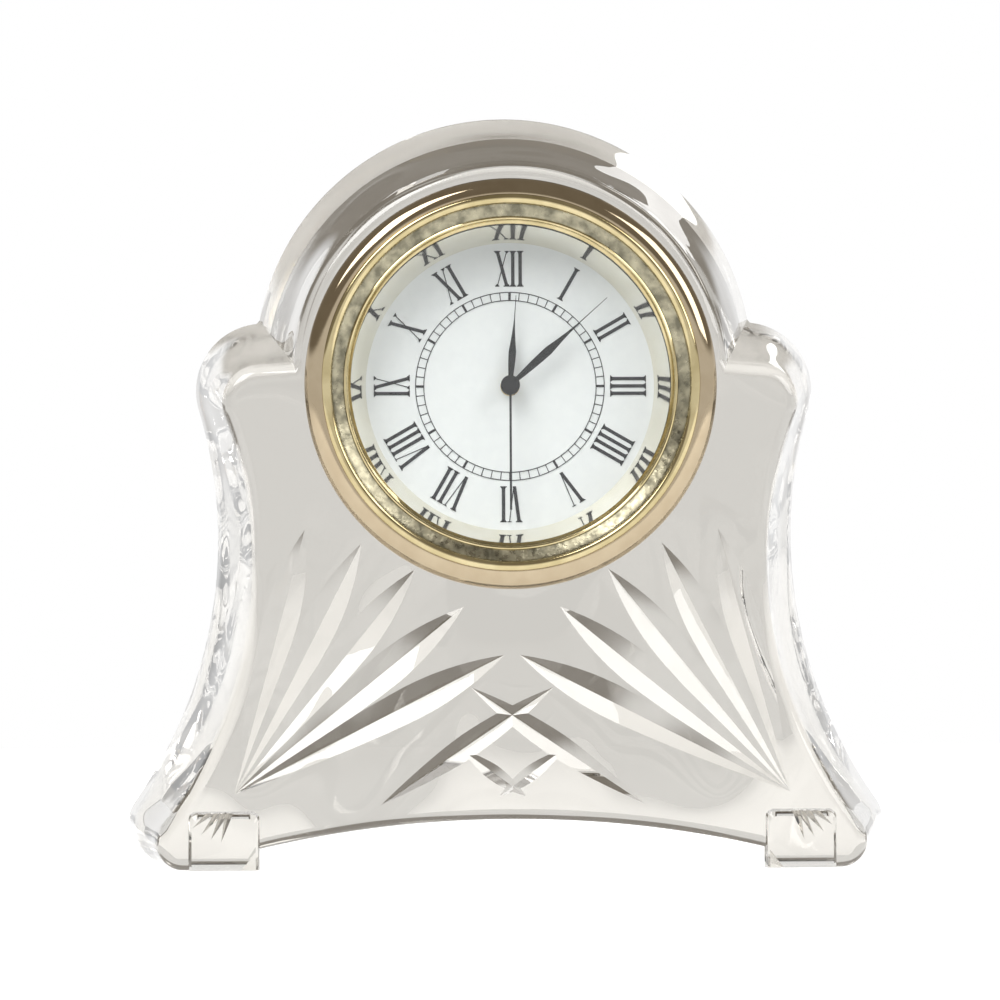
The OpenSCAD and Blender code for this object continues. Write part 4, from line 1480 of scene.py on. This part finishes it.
@dataclass
class Studio:
    """Camera, lamps, floor, and white surroundings under a grey ceiling.

    The ceiling begins above what any level camera sees. Its angles are in degrees over the horizon.
    """

    camera_at: Place = (-0.0098, -0.3893, 0.0136)
    pitch: float = 3.48
    yaw: float = -1.32
    roll: float = -0.285
    lens: float = 136.8
    sensor: float = 36.0
    floor_r: float = 3.0
    floor_steps: int = 96
    surround: float = 0.60
    floor_glow: float = 0.55
    floor_grey: Colour = (0.86, 0.86, 0.86)
    ceiling: Colour = (0.30, 0.275, 0.24)
    white_to: float = 11.5
    ceiling_from: float = 16.0
    lamps_face: Place = (0.0, 0.0, 0.04)
    lamps: tuple[Lamp, ...] = (
        Lamp("key_lamp", (-0.45, -0.55, 0.75), size=0.5, power=4.7),
        Lamp("fill_lamp", (0.6, -0.35, 0.5), size=0.5, power=2.9),
        Lamp("left_back_lamp", (-0.17, 0.57, 0.46), size=0.13, power=0.07),
        Lamp("right_back_lamp", (0.21, 0.63, 0.33), size=0.11, power=0.05),
    )

    def camera(self) -> None:
        """Sets the camera at the photograph's viewing angle."""
        data = bpy.data.cameras.new("camera")
        data.lens = self.lens
        data.sensor_width = self.sensor
        data.clip_start = 0.01
        data.clip_end = 20.0
        view = link_object("camera", data)
        turn = (Matrix.Rotation(math.radians(self.yaw), 4, "Z")
                @ Matrix.Rotation(math.radians(90 + self.pitch), 4, "X")
                @ Matrix.Rotation(math.radians(self.roll), 4, "Z"))
        view.matrix_world = Matrix.Translation(Vector(self.camera_at)) @ turn
        bpy.context.scene.camera = view

    def hang(self, lamp: Lamp) -> None:
        """Hangs a lamp that faces the dial.

        Args:
            lamp: The lamp.
        """
        data = bpy.data.lights.new(lamp.name, "AREA")
        data.size = lamp.size
        data.energy = lamp.power
        hung = link_object(lamp.name, data)
        hung.location = lamp.at
        aim = Vector(self.lamps_face) - Vector(lamp.at)
        hung.rotation_euler = aim.to_track_quat("-Z", "Y").to_euler()

    def seen_rays(self, wiring: Wiring) -> Socket:
        """Adds a mask of the rays that show the background: the camera's own, and those by glass or metal.

        Light that goes on to a dull surface, such as the dial under its lens, isn't among them.

        Args:
            wiring: The world or material that gets the nodes.

        Returns:
            The mask.
        """
        rays = wiring.add("ShaderNodeLightPath").outputs
        either = wiring.math("MAXIMUM", rays["Is Glossy Ray"], rays["Is Transmission Ray"])
        shown = wiring.math("MAXIMUM", rays["Is Camera Ray"], either)
        return wiring.math("SUBTRACT", shown, rays["Diffuse Depth"], clamp=True)

    def background(self, wiring: Wiring) -> Socket:
        """Adds the background's colour, white with the ceiling above.

        Args:
            wiring: The world that gets the nodes.

        Returns:
            The colour.
        """
        place = wiring.add("ShaderNodeTexCoord").outputs["Generated"]
        apart = wiring.add("ShaderNodeSeparateXYZ", {0: place})
        rise = wiring.add("ShaderNodeMapRange", {
            "Value": apart.outputs["Z"],
            "From Min": math.sin(math.radians(self.white_to)),
            "From Max": math.sin(math.radians(self.ceiling_from)),
        }, interpolation_type="SMOOTHSTEP")
        return wiring.mix(rise.outputs["Result"], WHITE, self.ceiling)

    def world(self) -> None:
        """Lights the scene evenly, and shows camera, glass and metal the same background."""
        world = bpy.data.worlds.new("surroundings")
        world.use_nodes = True
        bpy.context.scene.world = world
        world.node_tree.nodes.clear()
        wiring = Wiring(world.node_tree)
        light = wiring.add("ShaderNodeBackground", {"Color": (*WHITE, 1.0), "Strength": self.surround})
        shown = wiring.add("ShaderNodeBackground", {"Color": self.background(wiring)})
        choose = wiring.add("ShaderNodeMixShader", {
            "Fac": self.seen_rays(wiring),
            1: light.outputs[0],
            2: shown.outputs[0],
        })
        wiring.add("ShaderNodeOutputWorld", {"Surface": choose.outputs[0]})

    def floor(self) -> None:
        """Lays the pale floor, which shows white to camera, glass and metal and keeps the shadow."""
        coat = Coat("pale_floor")
        coat.fill(coat.shader, {
            "Base Color": (*self.floor_grey, 1.0),
            "Roughness": 0.9,
            "Specular IOR Level": 0.1,
        })
        level = coat.math("MULTIPLY", self.seen_rays(coat), self.floor_glow)
        glow = coat.add("ShaderNodeEmission", {"Color": (*WHITE, 1.0), "Strength": level})
        both = coat.add("ShaderNodeAddShader", {0: coat.shader.outputs[0], 1: glow.outputs[0]})
        coat.fill(coat.out, {"Surface": both.outputs[0]})
        rim = arc_points(0, 0, self.floor_r / MM, 0, 360, self.floor_steps)[:-1]
        points = np.array([(x, y, 0.0) for x, y in rim])
        mesh = bpy.data.meshes.new("floor")
        mesh.from_pydata((points * MM).tolist(), [], [tuple(range(len(rim)))])
        mesh.materials.append(coat.material)
        ground = link_object("floor", mesh)

    def build(self) -> None:
        """Sets up the studio."""
        bpy.context.scene.view_settings.view_transform = "Standard"
        self.camera()
        self.world()
        self.floor()
        for lamp in self.lamps:
            self.hang(lamp)
        log.info("studio set")


def main() -> None:
    """Builds the clock's looks in order."""
    logging.basicConfig(level=logging.INFO, format="%(name)s %(message)s")
    palette = Palette()
    Studio().build()
    FrameNodes().dress(palette)
    for sub_assembly in (CrystalBody, Bezel, ReflectorRing, Numerals, MinuteTrack, CoilWinding):
        sub_assembly(palette).build()


if __name__ == "__main__":
    main()
